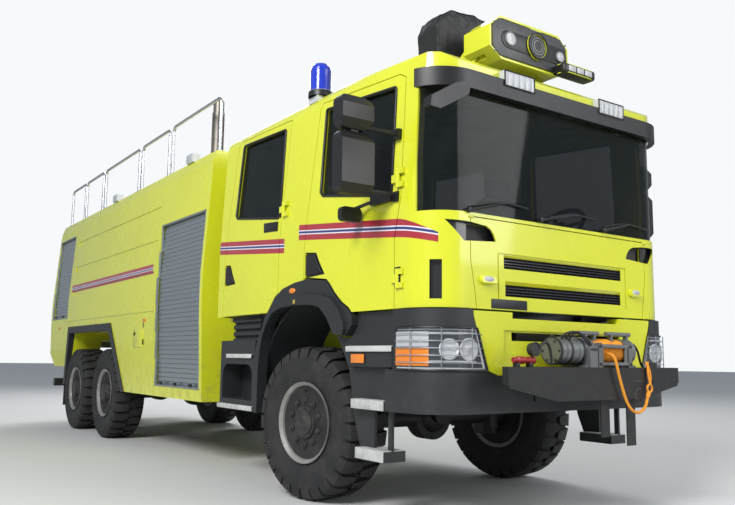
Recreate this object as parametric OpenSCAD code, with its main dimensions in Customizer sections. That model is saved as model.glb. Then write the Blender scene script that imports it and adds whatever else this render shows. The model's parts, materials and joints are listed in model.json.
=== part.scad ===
// Six-wheel airport fire truck with a four-door cab, a closed water-tank body,
// a roof monitor and a front winch.
// Millimetres. +X is the truck's left, -Y its front, +Z up.
// Sizes along Y are given from the front axle, and frame_shift moves the whole
// truck so that the origin is under the middle of its length.

/* [Running gear] */
// Front axle to first rear axle
wheelbase = 5113; // [4800:1:5400]
// First rear axle to second rear axle
bogie_spacing = 1453; // [1400:1:1520]
// Outer radius of a tyre, and the height of the axles
tyre_r = 576; // [560:1:590]
// Width of a tyre over its walls
tyre_w = 390; // [360:1:400]
// Middle of the truck to the outer wall of a tyre
wheel_out = 1238; // [1225:1:1240]
// Height of the tread lugs
lug_h = 24; // [16:1:32]
// Number of shoulder lugs round a tyre, each side
lug_count = 27; // [20:1:27]
// Radius of the rim's outer flange
flange_r = 305; // [295:1:315]
// Radius of the circle of wheel studs
stud_ring_r = 168; // [155:1:175]
// Number of wheel studs
stud_count = 10; // [8:1:10]
// Middle of the truck to a king pin
kingpin_x = 800; // [780:1:810]
// Angle by which the front wheels are turned to the left
steer_angle = 7.5; // [0:0.5:10]
// Radius of a wheel spindle
spindle_r = 60; // [50:1:64]

/* [Chassis] */
// Half of the frame's outer width
frame_half = 425; // [400:1:440]
// Height of a frame rail
rail_h = 270; // [240:1:280]
// Width of a rail's flange
rail_w = 90; // [75:1:100]
// Underside of the frame rails
rail_z = 800; // [790:1:810]
// Thickness of rail steel
rail_t = 9; // [7:1:12]

/* [Cab] */
// Half of the cab's width at the belt line
cab_half = 1215; // [1200:1:1225]
// Front face of the cab, from the front axle
cab_front = 1600; // [1560:1:1640]
// Length of the cab
cab_length = 3200; // [3150:1:3260]
// Radius of the cab's front corners, seen from above
cab_corner_r = 280; // [270:1:285]
// Underside of the cab and its doors
cab_z = 1390; // [1380:1:1400]
// Height of the belt line where the sides start to lean in
belt_z = 2100; // [2080:1:2120]
// Height of the cab roof at its back
roof_z = 3195; // [3180:1:3230]
// How far the sides lean in from belt to roof
lean = 45; // [30:1:60]
// Thickness of the cab walls and doors
wall = 60; // [50:1:70]
// Gap round each door
seam = 7; // [7:1:9]
// Thickness of the window glass
glass_t = 6; // [5:1:8]
// Lower edge of the windscreen
screen_z = 2010; // [2000:1:2030]
// Radius of the wheel opening in the front fender
arch_r = 720; // [715:1:728]
// Height of the front flare's upper edge over the wheel
flare_top = 1671; // [1660:1:1680]
// Height of the middle of the front wheel arch
arch_z = 758; // [755:1:765]

/* [Body] */
// Space between cab and body
cab_gap = 320; // [300:1:350]
// Length of the body
body_length = 6270; // [6200:1:6350]
// Height of the body roof
body_roof_z = 3160; // [3140:1:3180]
// Half of the body's width at its widest
body_half = 1250; // [1242:1:1260]
// Lower edge of the body sides
skirt_z = 622; // [610:1:650]
// Height of the roof rails above the roof edge
rail_rise = 590; // [500:1:620]
// Radius of the rail tubes
rail_tube_r = 18; // [15:1:22]

/* [Turret] */
// Swivel axis of the roof monitor, behind the cab's front face
turret_back = 800; // [780:1:820]
// Half of the monitor cowl's width
cowl_half = 430; // [410:1:445]
// Height of the monitor's tilt axis
tilt_z = 3470; // [3460:1:3490]

/* [Winch] */
// Length of the winch tray ahead of the cab's front face
tray_depth = 280; // [270:1:290]
// Half of the winch tray's width
tray_half = 868; // [850:1:880]
// Height of the tray's top face
tray_z = 1024; // [1020:1:1028]
// Radius of the winch motor
motor_r = 88; // [80:1:92]
// Thickness of the winch rope
rope_d = 20; // [16:1:22]

/* [Hidden] */
$fn = 48;

paint = "greenyellow";
dark = "dimgray";
black = "black";
steel = "silver";

// Places along Y, from the front axle
axle_y = [0, wheelbase, wheelbase + bogie_spacing];
cab_y0 = -cab_front;
cab_y1 = cab_length - cab_front;
body_front = cab_y1 + cab_gap;
body_y1 = body_front + body_length;
nose_y = cab_y0 - tray_depth;
tail_y = body_y1 + 90;
frame_shift = -(nose_y + tail_y) / 2;

// Clearances
fit = 0.3;
air = 6;

// Heights of the chassis
rail_top = rail_z + rail_h;
sub_h = 60;
axle_z = tyre_r;

module placed() { translate([0, frame_shift, 0]) children(); }
module both_sides() {
    children();
    mirror([1, 0, 0]) children();
}
// side is 1 on the truck's left and -1 on its right
module on_side(side) {
    if (side > 0) children();
    else mirror([1, 0, 0]) children();
}
// An outline in (y, z), run along X from x0 to x1
module along_x(x0, x1) {
    translate([x0, 0, 0]) rotate([90, 0, 90]) linear_extrude(x1 - x0) children();
}
// An outline in (x, z), run along Y from y0 to y1
module along_y(y0, y1) {
    translate([0, y1, 0]) rotate([90, 0, 0]) linear_extrude(y1 - y0) children();
}
// A box given by its two corners
module block(a, b) { translate(a) cube(b - a); }
// A round bar along X
module bar_x(x0, x1, y, z, r) {
    translate([x0, y, z]) rotate([0, 90, 0]) cylinder(r = r, h = x1 - x0);
}
// A round bar along Y
module bar_y(y0, y1, x, z, r) {
    translate([x, y1, z]) rotate([90, 0, 0]) cylinder(r = r, h = y1 - y0);
}
// A round bar between two points
module rod(a, b, r) {
    d = b - a;
    translate(a) rotate([0, acos(d[2] / norm(d)), atan2(d[1], d[0])]) cylinder(r = r, h = norm(d));
}
// Points of an arc
function arc(cx, cy, r, a0, a1, n) =
    [for (i = [0:n]) [cx + r * cos(a0 + (a1 - a0) * i / n), cy + r * sin(a0 + (a1 - a0) * i / n)]];

// Outward normal of a run from a to b, and an open outline moved outwards by g
function normal(a, b) = [b[1] - a[1], a[0] - b[0]] / norm(b - a);
function grown(p, g) = let (n = len(p)) [for (i = [0:n - 1])
    let (a = normal(p[max(i - 1, 0)], p[max(i, 1)]), b = normal(p[min(i, n - 2)], p[min(i + 1, n - 1)]))
        p[i] + g * (a + b) / (1 + a * b)];
// A rectangle with rounded corners
module rounded(a, b, r) {
    polygon(concat(arc(a[0] + r, a[1] + r, r, 180, 270, 6), arc(b[0] - r, a[1] + r, r, 270, 360, 6),
        arc(b[0] - r, b[1] - r, r, 0, 90, 6), arc(a[0] + r, b[1] - r, r, 90, 180, 6)));
}

// CHASSIS

module rail() {
    difference() {
        block([frame_half - rail_w, cab_y0 + 120, rail_z], [frame_half, body_y1 - 120, rail_top]);
        block([frame_half - rail_w - 1, cab_y0, rail_z + rail_t],
            [frame_half - rail_t, body_y1, rail_top - rail_t]);
    }
}
cross_y = [-1350, cab_y1 - 350, body_front + 480, 3700, 4500, 5840, 7300, body_y1 - 165];
cab_mount_y = [-1400, cab_y1 - 140];
module chassis_frame() {
    color(black) placed() {
        both_sides() {
            rail();
            // runner that carries the body
            block([frame_half - rail_w, body_front, rail_top],
                [frame_half, body_y1 - 120, rail_top + sub_h]);
        }
        difference() {
            for (y = cross_y)
                block([-(frame_half - rail_t), y - 45, rail_z + rail_t],
                    [frame_half - rail_t, y + 45, rail_top - rail_t]);
            // way for the propeller shaft
            bar_y(1200, 1300, 0, 980, 75);
        }
        // mounts under the cab
        both_sides()
            for (y = cab_mount_y)
                block([frame_half - rail_w + 10, y - 40, rail_top], [frame_half - 10, y + 40, cab_z - fit]);
        // rear under-run bar on its two hangers
        block([-1150, body_y1 - 90, 560], [1150, body_y1 + 10, 680]);
        both_sides()
            block([frame_half - rail_w, body_y1 - 200, 560], [frame_half - rail_w + 60, body_y1 - 90, rail_z + 60]);
        // tow jaw
        difference() {
            union() {
                block([-60, body_y1 - 120, tow_z], [60, tail_y - 60, tow_z + tow_h]);
                translate([0, tail_y - 60, tow_z]) cylinder(r = 60, h = tow_h);
            }
            translate([0, tail_y - 60, tow_z - 1]) cylinder(r = tow_r, h = tow_h + 2);
        }
    }
}

// Rear towing eye: radius and length of its bore, and its underside
tow_r = 25;
tow_h = 70;
tow_z = 900;

yoke_h = 130;
yoke_t = 40;
module axle_tube(y, half) {
    bar_x(-half, half, y, axle_z, 78);
    // final drive housing
    translate([60, y, axle_z]) {
        rotate([90, 0, 0]) cylinder(r = 190, h = 150, center = true);
        bar_y(-190, 0, 0, 30, 80);
        sphere(r = 150);
    }
}
module axle_beams() {
    color(black) placed() {
        union() {
            axle_tube(0, kingpin_x - 80);
            // seats of the front springs
            both_sides() block([front_spring_x - 40, -70, axle_z], [front_spring_x + 40, 70, front_seat_z]);
            // forked ends that hold the king pins
            both_sides()
                difference() {
                    union() {
                        block([kingpin_x - 150, -60, axle_z - yoke_h - yoke_t],
                            [kingpin_x, 60, axle_z + yoke_h + yoke_t]);
                        translate([kingpin_x, 0, axle_z - yoke_h - yoke_t])
                            cylinder(r = 75, h = 2 * (yoke_h + yoke_t));
                    }
                    translate([kingpin_x, 0, axle_z - yoke_h])
                        cylinder(r = 90, h = 2 * yoke_h);
                    translate([kingpin_x, 0, axle_z - yoke_h - yoke_t - 1])
                        cylinder(r = 25 + fit, h = 2 * (yoke_h + yoke_t) + 2);
                }
        }
        for (i = [1, 2])
            union() {
                axle_tube(axle_y[i], wheel_out - tyre_w + 60);
                both_sides() bar_x(wheel_out - tyre_w, hub_mid, axle_y[i], axle_z, spindle_r);
            }
    }
}

// Place of the wheel's parts along its axis, from the middle of the truck
tyre_mid = wheel_out - tyre_w / 2;
disc_out = wheel_out - 64;
hub_mid = disc_out - 60;
bead_r = flange_r - 20;
drum_in = tyre_mid - 110;

// Turns a front wheel about its king pin, and leaves the others
module steered(side, y) {
    translate([side * kingpin_x, y, 0]) rotate([0, 0, y == 0 ? steer_angle : 0])
        translate([-side * kingpin_x, -y, 0]) children();
}
module knuckle(side) {
    color(dark) placed() steered(side, 0) on_side(side) {
        difference() {
            union() {
                translate([kingpin_x, 0, axle_z - yoke_h + air])
                    cylinder(r = 78, h = 2 * (yoke_h - air));
                bar_x(kingpin_x, drum_in - 12, 0, axle_z, 84);
                bar_x(kingpin_x, hub_mid, 0, axle_z, spindle_r);
                // king pin
                translate([kingpin_x, 0, axle_z - yoke_h - yoke_t])
                    cylinder(r = 25, h = 2 * (yoke_h + yoke_t));
                // steering arm
                block([kingpin_x - 10, 40, axle_z - 100], [kingpin_x + 30, 250, axle_z - 60]);
            }
        }
    }
}

// Tyre rings from its inner bead to its outer one. Columns: place along the axle, radius on a lug,
// radius in a groove, turn as a share of the lug pitch. Rings with two radii have three points a lug.
function tyre_rings() = let (h = tyre_w / 2, wall_r = (tyre_r + flange_r) / 2 - 10,
    bead = bead_r / cos(180 / lug_count), top = tyre_r / cos(72 / lug_count)) [
    [42 - h, bead, bead, 0], [16 - h, flange_r + 14, flange_r + 14, 0], [-h, wall_r, wall_r, 0],
    [10 - h, tyre_r - 40, tyre_r - 56, 0], [34 - h, top, tyre_r - lug_h, 0],
    [h - 34, top, tyre_r - lug_h, 0.5], [h - 10, tyre_r - 40, tyre_r - 56, 0.5],
    [h, wall_r, wall_r, 0.5], [h - 16, flange_r + 14, flange_r + 14, 0.5], [h - 42, bead, bead, 0.5]];
// Shares of the pitch at which a lug starts, ends, and its groove is deepest
lug_share = [-0.3, 0.3, 0.5];
function ring_size(q) = q[1] == q[2] ? lug_count : 3 * lug_count;
function ring_start(rings, k) = k == 0 ? 0 : ring_start(rings, k - 1) + ring_size(rings[k - 1]);
function ring_points(q) = [for (i = [0:lug_count - 1], k = q[1] == q[2] ? [0] : [0:2])
    let (a = 360 / lug_count * (i + q[3] + (q[1] == q[2] ? 0 : lug_share[k])), r = k == 2 ? q[2] : q[1])
        [-r * cos(a), r * sin(a), q[0]]];
// Triangles between two rings that start at points a and b and hold m and n points
function strip(a, m, b, n) = [for (i = [0:lug_count - 1]) let (
        A = [for (k = [0:3]) a + (m == lug_count ? i + k : 3 * i + k) % m],
        B = [for (k = [0:3]) b + (n == lug_count ? i + k : 3 * i + k) % n])
    each m == n && m == lug_count ? [[A[0], B[0], B[1]], [A[0], B[1], A[1]]] : m == n
        ? [for (k = [0:2]) each [[A[k], B[k], A[k + 1]], [B[k], B[k + 1], A[k + 1]]]]
        : m < n
        ? [[B[0], B[1], A[0]], [B[1], B[2], A[0]], [A[0], B[2], A[1]], [B[2], B[3], A[1]]]
        : [[A[0], B[0], A[1]], [A[1], B[0], A[2]], [B[0], B[1], A[2]], [A[2], B[1], A[3]]]];
module tyre_at(side, y) {
    rings = tyre_rings();
    last = len(rings) - 1;
    color([0.09, 0.09, 0.1]) placed() steered(side, y) on_side(side)
        translate([tyre_mid, y, axle_z]) rotate([0, 90, 0])
            polyhedron(points = [for (q = rings) each ring_points(q)],
                faces = [for (k = [0:last]) let (j = k == last ? 0 : k + 1) each
                    strip(ring_start(rings, k), ring_size(rings[k]), ring_start(rings, j), ring_size(rings[j]))]);
}

module rim_at(side, y, hub_len) {
    hw = tyre_w / 2;
    seat = bead_r - fit;
    color(steel) placed() steered(side, y) on_side(side)
        translate([tyre_mid, y, axle_z]) rotate([0, 90, 0]) {
            difference() {
                union() {
                    rotate_extrude()
                        polygon([[seat - 12, -hw + 30], [flange_r, -hw + 18], [flange_r, -hw + 24],
                            [seat, -hw + 42], [seat, hw - 42], [flange_r, hw - 24],
                            [flange_r, hw - 12], [seat - 6, hw - 30], [seat - 16, hw - 60],
                            [240, disc_out - tyre_mid], [200, disc_out - tyre_mid],
                            [200, disc_out - tyre_mid - 16], [234, disc_out - tyre_mid - 18],
                            [seat - 34, hw - 130], [seat - 12, hw - 160]]);
                    // dished disc and hub
                    translate([0, 0, disc_out - tyre_mid - 16]) cylinder(r = 202, h = 16);
                    translate([0, 0, drum_in - tyre_mid]) cylinder(r = 205, h = disc_out - drum_in - 16);
                    translate([0, 0, disc_out - tyre_mid - 2]) cylinder(r1 = 138, r2 = 118, h = hub_len - 8);
                    translate([0, 0, disc_out - tyre_mid + hub_len - 32]) cylinder(r = 92, h = 32);
                    for (a = [0:stud_count - 1])
                        rotate(a * 360 / stud_count) translate([stud_ring_r, 0, disc_out - tyre_mid - 4])
                            cylinder(r = 16, h = 38);
                }
                // bearing bore
                translate([0, 0, drum_in - tyre_mid - 1])
                    cylinder(r = spindle_r + fit, h = hub_mid - drum_in + 9);
            }
        }
}

// Leaves of a front spring: thickness of one, and the length of each as a share of the longest
leaf_t = 15;
leaf_share = [1, 0.83, 0.66, 0.49, 0.32];
// Height of the longest leaf's top at share k of its half length
function leaf_top(k, z_mid, z_end) = z_mid + (z_end - z_mid) * k * k;
module spring_pack(x, y, half, z_mid, z_end) {
    last = len(leaf_share) - 1;
    stations = concat([for (k = leaf_share) -k], [0], [for (i = [last:-1:0]) leaf_share[i]]);
    along_x(x - 40, x + 40)
        polygon(concat(
            [for (k = stations) [y + half * k, leaf_top(k, z_mid, z_end)]],
            // stepped underside, one leaf shorter at each step
            [for (i = [0:last], d = [0, 1]) if (i + d > 0)
                [y + half * leaf_share[i], leaf_top(leaf_share[i], z_mid, z_end) - leaf_t * (i + d)]],
            [for (i = [last:-1:0], d = [1, 0]) if (i + d > 0)
                [y - half * leaf_share[i], leaf_top(leaf_share[i], z_mid, z_end) - leaf_t * (i + d)]]));
}
front_spring_x = frame_half - 45;
front_leaf_z = axle_z + 153;
front_seat_z = leaf_top(leaf_share[len(leaf_share) - 1], front_leaf_z, rail_z - 18) - leaf_t * len(leaf_share) - fit;
module leaf_springs() {
    color(dark) placed() both_sides() {
        union() {
            spring_pack(front_spring_x, 0, 760, front_leaf_z, rail_z - 18);
            bar_x(front_spring_x - 40, front_spring_x + 40, -745, rail_z - 26 - fit, 26);
            bar_x(front_spring_x - 40, front_spring_x + 40, 745, rail_z - 26 - fit, 26);
        }
        union() {
            bogie_mid = wheelbase + bogie_spacing / 2;
            end_z = axle_z + 78 + 40 + fit;
            along_x(frame_half + 12, frame_half + 92)
                polygon(concat(
                    [for (k = [-6:6]) [bogie_mid + bogie_spacing / 12 * k, rail_z + 120 - abs(k * k) * (rail_z + 120 - end_z) / 36]],
                    [for (k = [6:-1:-6]) [bogie_mid + bogie_spacing / 12 * k,
                        rail_z + 120 - abs(k * k) * (rail_z + 120 - end_z) / 36 - 40 - (6 - abs(k)) * 8]]));
            bar_x(frame_half + fit, frame_half + 110, bogie_mid, rail_z + 30, 60);
        }
    }
}

module drive_train() {
    color("gray") placed() {
        // engine, one plain block
        block([-310, cab_y0 + 360, 860], [310, 60, cab_z - 60]);
        // gearbox
        union() {
            block([-230, 60 + fit, 880], [230, 620, 1260]);
            bar_y(620, 900, 0, 1020, 150);
        }
        // transfer box
        union() {
            block([-200, 1700, 640], [200, 2150, 1000]);
            bar_y(900 + fit, 1700, 0, 980, 45);
            bar_y(150 + fit, 1700, 60, axle_z + 110, 40);
            rod([60, 2150, axle_z + 160], [60, wheelbase - 193, axle_z + 40], 50);
        }
    }
}

module side_tanks() {
    color("gray") placed() {
        // fuel tank on the left, air and battery boxes on the right
        along_y(3420, 4260)
            polygon(concat(arc(620, 760, 60, 180, 270, 4), arc(960, 760, 60, 270, 360, 4),
                arc(960, 1010, 60, 0, 90, 4), arc(620, 1010, 60, 90, 180, 4)));
        for (y = [3550, 4100]) block([frame_half + fit, y - 30, 900], [600, y + 30, 960]);
        union() {
            for (z = [770, 970]) bar_y(3420, 4260, -700, z, 95);
            block([-1040, 3420, 690], [-810, 4200, 1060]);
            for (y = [3550, 4100]) block([-830, y - 30, 855], [-(frame_half + fit), y + 30, 885]);
        }
    }
}

// CAB

// The cab seen from above, drawn in by t on every side
module cab_plan(t) {
    translate([-cab_half + t, cab_y0 + cab_corner_r])
        square([2 * (cab_half - t), cab_length - cab_corner_r - t]);
    translate([-cab_half + cab_corner_r, cab_y0 + t])
        square([2 * (cab_half - cab_corner_r), cab_length - 2 * t]);
    for (s = [-1, 1])
        translate([s * (cab_half - cab_corner_r), cab_y0 + cab_corner_r])
            circle(r = cab_corner_r - t);
}
// The cab's outside, drawn in by t on every side
module cab_solid(t) {
    edge = 150;
    top_half = cab_half - lean;
    slope = lean / (roof_z - edge - belt_z);
    intersection() {
        translate([0, 0, cab_z + t]) linear_extrude(roof_z) cab_plan(t);
        // seen from the front
        along_y(cab_y0 - 700, cab_y1 + 700) {
            polygon([[-cab_half + t - slope * belt_z, 0], [cab_half - t + slope * belt_z, 0],
                [top_half - t, roof_z - edge], [t - top_half, roof_z - edge]]);
            translate([edge - top_half, roof_z - edge - 10])
                square([2 * (top_half - edge), edge + 10 - t]);
            for (s = [-1, 1])
                translate([s * (top_half - edge), roof_z - edge]) circle(r = edge - t);
        }
        // seen from the side
        along_x(-cab_half - 900, cab_half + 900)
            polygon([[cab_y0 - 440, 0], [cab_y1 + 500, 0], [cab_y1 + 500, roof_z - 560 - t],
                [cab_y1 - 60, roof_z + 0.5 - t], [-200, roof_z - 5 - t], [-750, roof_z - 62 - t],
                [-1250, roof_z - 105 - t], [cab_y0 + 60, roof_z - 128 - t], [cab_y0 - 440, roof_z - 520 - t]]);
    }
}

// Door hinges: axis outside the cab's side, radius of a knuckle and of its pin
hinge_x = cab_half + 7;
knuckle_r = 16;
hinge_pin_r = 7;
// Place of each hinge: Y of its axis and its lower end
front_hinges = [[-1235, 1522], [-1235, 2194]];
rear_hinges = [[cab_y1 - 1262, 2226]];
// Knuckles and pin on the cab
module hinge_fixed(h) {
    for (k = [0, 90]) {
        translate([hinge_x, h[0], h[1] + k]) cylinder(r = knuckle_r, h = 36);
        block([cab_half - 24, h[0] - 62, h[1] + k], [hinge_x + 8, h[0], h[1] + k + 36]);
    }
    translate([hinge_x, h[0], h[1]]) cylinder(r = hinge_pin_r, h = 126);
}
// Knuckle on the door
module hinge_moving(h) {
    difference() {
        union() {
            translate([hinge_x, h[0], h[1] + 36 + fit]) cylinder(r = knuckle_r, h = 54 - 2 * fit);
            block([cab_half - 24, h[0], h[1] + 36 + fit], [hinge_x + 8, h[0] + 62, h[1] + 90 - fit]);
        }
        translate([hinge_x, h[0], h[1]]) cylinder(r = hinge_pin_r + fit, h = 126);
    }
}
// Room for the door's knuckle, cut out of the cab
module hinge_room_moving(h) {
    translate([hinge_x, h[0], h[1] + 31]) cylinder(r = knuckle_r + 5, h = 64);
    block([cab_half - 30, h[0], h[1] + 31], [hinge_x + 30, h[0] + 70, h[1] + 95]);
}
// Room for the cab's knuckles, cut out of the door
module hinge_room_fixed(h) {
    for (k = [0, 90]) {
        translate([hinge_x, h[0], h[1] + k - 5]) cylinder(r = knuckle_r + 5, h = 46);
        block([cab_half - 30, h[0] - 70, h[1] + k - 5], [hinge_x + 30, h[0], h[1] + k + 41]);
    }
}

// Door outlines in (y, z), grown by g; the front fender's flare cuts the lower edge
front_door_y = -1255;
rear_door_y = cab_y1 - 1275;
// Lower edge of the cab's sides behind the wheel, and where it starts
rear_sill_z = cab_z + 45;
rear_sill_y = 660;
function front_door(g) = [[front_door_y - g, belt_z + 30], [front_door_y - g, 2965], [-1190, 3000 + g],
    [-185, 3070 + g], [-150 + g, 3040], [-10 + g, 1910], [-10 + g, cab_z - g],
    [-1190 - g, cab_z - g], [-1190 - g, 1860]];
function rear_door(g) = [[rear_door_y - g, 3060 + g], [cab_y1 - 300, 3090 + g], [cab_y1 - 255 + g, 3050],
    [cab_y1 - 120 + g, 1950], [cab_y1 - 120 + g, rear_sill_z - g], [rear_door_y + 91 - g, rear_sill_z - g],
    [rear_door_y + 91 - g, 1900]];
function front_window(g) = [[-1157 - g, 2154 - g], [-222 + g, 2310 - g], [-240 + g, 2990],
    [-252, 3003 + g], [-1140, 2925 + g], [-1157 - g, 2905]];
function rear_window(g) = [[rear_door_y + 77 - g, 2225 - g], [cab_y1 - 310 + g, 2345 - g], [cab_y1 - 368 + g, 3020],
    [cab_y1 - 385, 3037 + g], [rear_door_y + 90, 3002 + g], [rear_door_y + 77 - g, 2985]];

// Edge of the front flare against the cab, in (y, z), from its rear leg to its front joint
flare_y0 = -708;
flare_edge = [[700, 1262], [650, 1330], [625, 1392], [563, 1446], [455, 1552], [321, 1620],
    [123, flare_top - 14], [-81, flare_top], [-345, 1640], [-392, 1604], [-460, 1536], [-564, 1457], [-650, 1414],
    [-706, 1362], [flare_y0, 1300]];
// Ridge along the middle of the flare
flare_ridge = [[640, 1230], [590, 1330], [519, 1396], [326, 1505], [47, 1547], [-299, 1537], [-461, 1496],
    [-570, 1405], [-629, 1320], [-640, 1270], [-618, 1226]];
// Edge of the wheel opening, from the foot of the rear leg to the front joint
opening_edge = [[672, 600], [670, 754], [666, 956], [643, 1123], [611, 1231], [540, 1337], [445, 1428],
    [300, 1465], [66, 1475], [-180, 1466], [-303, 1440], [-406, 1362], [-509, 1234]];
module flare_cut(g) {
    polygon(concat(grown(flare_edge, g), [[flare_y0 - g, 900], [700 + g, 900]]));
}
module door_hole(points_out, g) {
    difference() {
        polygon(points_out);
        flare_cut(-g);
    }
}
module cab_shell() {
    color(paint) placed() {
        difference() {
            cab_hull();
            floor_room(0);
            roof_room(0);
            both_sides() for (h = concat(front_hinges, rear_hinges)) hinge_room_moving(h);
        }
        both_sides() for (h = concat(front_hinges, rear_hinges)) hinge_fixed(h);
    }
}
// Room of the floor with its wheel humps, and of the roof's middle, drawn in by g
module floor_room(g) {
    translate([0, 0, cab_z - 1]) linear_extrude(arch_z + arch_r + 85 - cab_z) cab_plan(wall - 4 + g);
}
roof_cut = 154;
module roof_room(g) {
    block([lean + roof_cut + g - cab_half, cab_y0 + 230 + g, roof_z - 300],
        [cab_half - lean - roof_cut - g, cab_y1 - wall + 4 - g, roof_z + 10]);
}
module cab_floor() {
    color(black) placed() intersection() {
        cab_hull();
        floor_room(fit);
        block([-2000, -2000, cab_z - 1], [2000, cab_y1, floor_z]);
    }
}
module wheel_humps() {
    color(black) placed() intersection() {
        cab_hull();
        floor_room(fit);
        block([-2000, -arch_r, floor_z + fit], [2000, arch_r, 2000]);
    }
}
module cab_roof() {
    color(paint) placed() intersection() {
        cab_hull();
        roof_room(fit);
    }
}
module cab_hull() {
    difference() {
        cab_solid(0);
        difference() {
            cab_solid(wall);
            // hump over each front wheel
            both_sides() along_x(hump_x, cab_half - wall - 8) hump(hump_t);
        }
        both_sides() {
            along_x(hump_x + hump_t, cab_half + 11) hump(0);
            along_x(cab_half - wall - 9, cab_half + 12) flare_cut(0);
            // sides end higher behind the wheel
            block([cab_half - wall - 70, rear_sill_y - 80, cab_z - 1], [cab_half + 1, cab_y1 + 1, rear_sill_z - seam]);
            along_x(cab_half - wall - 60, cab_half + 10) {
                door_hole(front_door(seam), seam);
                door_hole(rear_door(seam), seam);
            }
        }
        // windscreen opening
        along_x(-cab_half - 10, cab_half + 10)
            polygon([[cab_y0 - 10, screen_z], [cab_y0 + 200, screen_z], [cab_y0 + 200, 2870],
                [cab_y0 - 10, 2910]]);
        // opening behind the front panel
        along_y(cab_y0 - 1, cab_y0 + wall + 8) panel_outline(seam, cab_z - 1, panel_top + seam);
        both_sides() bar_x(panel_half, panel_half + 24, cab_y0, panel_top, pin_r + fit);
        // back window
        along_y(cab_y1 - wall - 1, cab_y1 + 1)
            polygon([[-620, 2330], [620, 2330], [600, 2900], [-600, 2900]]);
        both_sides() {
            // dark intakes over the corners
            intake(0);
            // vane slots in the corner panels
            translate([cab_half - cab_corner_r, cab_y0 + cab_corner_r, 1443])
                rotate(-45) block([cab_corner_r - 44, -40, 0], [cab_corner_r + 10, 40, 250]);
            brow_lamp(0);
        }
    }
}
// Wheel housing in the cab floor: its wall and the x of its inner side
hump_t = 30;
hump_x = 610;
module hump(g) {
    translate([0, arch_z]) circle(r = arch_r + 34 + g);
}
// Front panel: half width at its top, and its upper edge
panel_half = 905;
panel_top = screen_z - 30;
module panel_outline(g, z0, z1) {
    polygon([[857 + g, z0], [868 + g, 1490], [panel_half + g, 1700], [panel_half + g, z1],
        [-panel_half - g, z1], [-panel_half - g, 1700], [-868 - g, 1490], [-857 - g, z0]]);
}
// Air intake beside the panel's upper corner
module intake(g) {
    intersection() {
        difference() {
            cab_solid(-1);
            cab_solid(40);
        }
        along_y(cab_y0 - 50, cab_y0 + 200)
            polygon([[1090, 1952], [900, 1948], [768, 1934], [725, 1912], [701, 1884], [679, 1838], [965, 1819]]);
    }
}
// Hinge pins of the front panel
pin_r = 7;

module windscreen() {
    color([0.2, 0.25, 0.3, 0.5]) placed() {
        intersection() {
            difference() {
                cab_solid(14);
                cab_solid(14 + glass_t);
            }
            along_x(-cab_half - 10, cab_half + 10)
                polygon([[cab_y0 - 10, screen_z + fit], [cab_y0 + 200 - fit, screen_z + fit],
                    [cab_y0 + 200 - fit, 2870 - fit], [cab_y0 - 10, 2910 - fit]]);
        }
        along_y(cab_y1 - 40 - glass_t, cab_y1 - 40)
            polygon([[-620 + fit, 2330 + fit], [620 - fit, 2330 + fit], [600 - fit, 2900 - fit],
                [fit - 600, 2900 - fit]]);
    }
}

module door(side, front) {
    hinges = front ? front_hinges : rear_hinges;
    color(paint) placed() on_side(side) {
        difference() {
            door_skin(front);
            for (h = hinges) hinge_room_fixed(h);
        }
        for (h = hinges) hinge_moving(h);
    }
}
front_handle = [[-24, 1885], [-190, 1868], [-245, 1785], [-322, 1690], [-24, 1680]];
rear_handle = [for (p = [[-134, 1920], [-250, 1908], [-308, 1805], [-365, 1726], [-134, 1718]]) p + [cab_y1, 0]];
module door_skin(front) {
    difference() {
        intersection() {
            difference() {
                cab_solid(0);
                cab_solid(wall);
            }
            along_x(cab_half - wall - 55, cab_half + 10) difference() {
                polygon(front ? front_door(0) : rear_door(0));
                flare_cut(front ? air + 6 : 14);
                polygon(front ? front_window(0) : rear_window(0));
            }
        }
        // handle recess
        along_x(cab_half - 26, cab_half + 5) polygon(front ? front_handle : rear_handle);
    }
}
module door_glass(side, front) {
    color([0.2, 0.25, 0.3, 0.5]) placed() on_side(side) intersection() {
        difference() {
            cab_solid(24);
            cab_solid(24 + glass_t);
        }
        along_x(cab_half - 200, cab_half + 10)
            polygon(front ? front_window(-fit) : rear_window(-fit));
    }
}

module front_panel() {
    color(paint) placed() {
        difference() {
            along_y(cab_y0, cab_y0 + wall) panel_outline(0, cab_z, panel_top);
            // two slots, each with its grille
            for (s = grille_slots) {
                block([-s[0], cab_y0 - 1, s[1]], [s[0], cab_y0 + wall + 1, s[2]]);
                // slanted lip over the slot
                along_x(-s[0], s[0])
                    polygon([[cab_y0 - 1, s[2] - 1], [cab_y0 + 21, s[2] - 1], [cab_y0 - 1, s[2] + 26]]);
            }
            along_y(cab_y0 + 20, cab_y0 + wall + 1) panel_outline(1, cab_z + 30, panel_top - 40);
            both_sides() intake(0);
            // step that frames the grilles
            both_sides() block([660, cab_y0 - 1, 1455], [670, cab_y0 + 8, 1765]);
            block([-670, cab_y0 - 1, 1755], [670, cab_y0 + 8, 1765]);
        }
        both_sides() bar_x(panel_half - 20, panel_half + 23, cab_y0, panel_top, pin_r);
        // oval marker lamps at the grille's ends
        both_sides() intersection() {
            along_y(cab_y0 - 26, cab_y0 + 20) rounded([700, 1548], [832, 1612], 31);
            along_x(690, 840) polygon([[cab_y0 + 20, 1500], [cab_y0 - 26, 1560], [cab_y0 - 20, 1600], [cab_y0 + 20, 1640]]);
        }
        for (s = grille_slots, k = [1:3])
            block([-s[0], cab_y0 + 8, s[1] + (s[2] - s[1]) * k / 4 - 3],
                [s[0], cab_y0 + 20, s[1] + (s[2] - s[1]) * k / 4 + 3]);
    }
}
// Each grille slot: half length, lower edge, upper edge
grille_slots = [[614, 1664, 1741], [603, 1481, 1558]];

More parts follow.
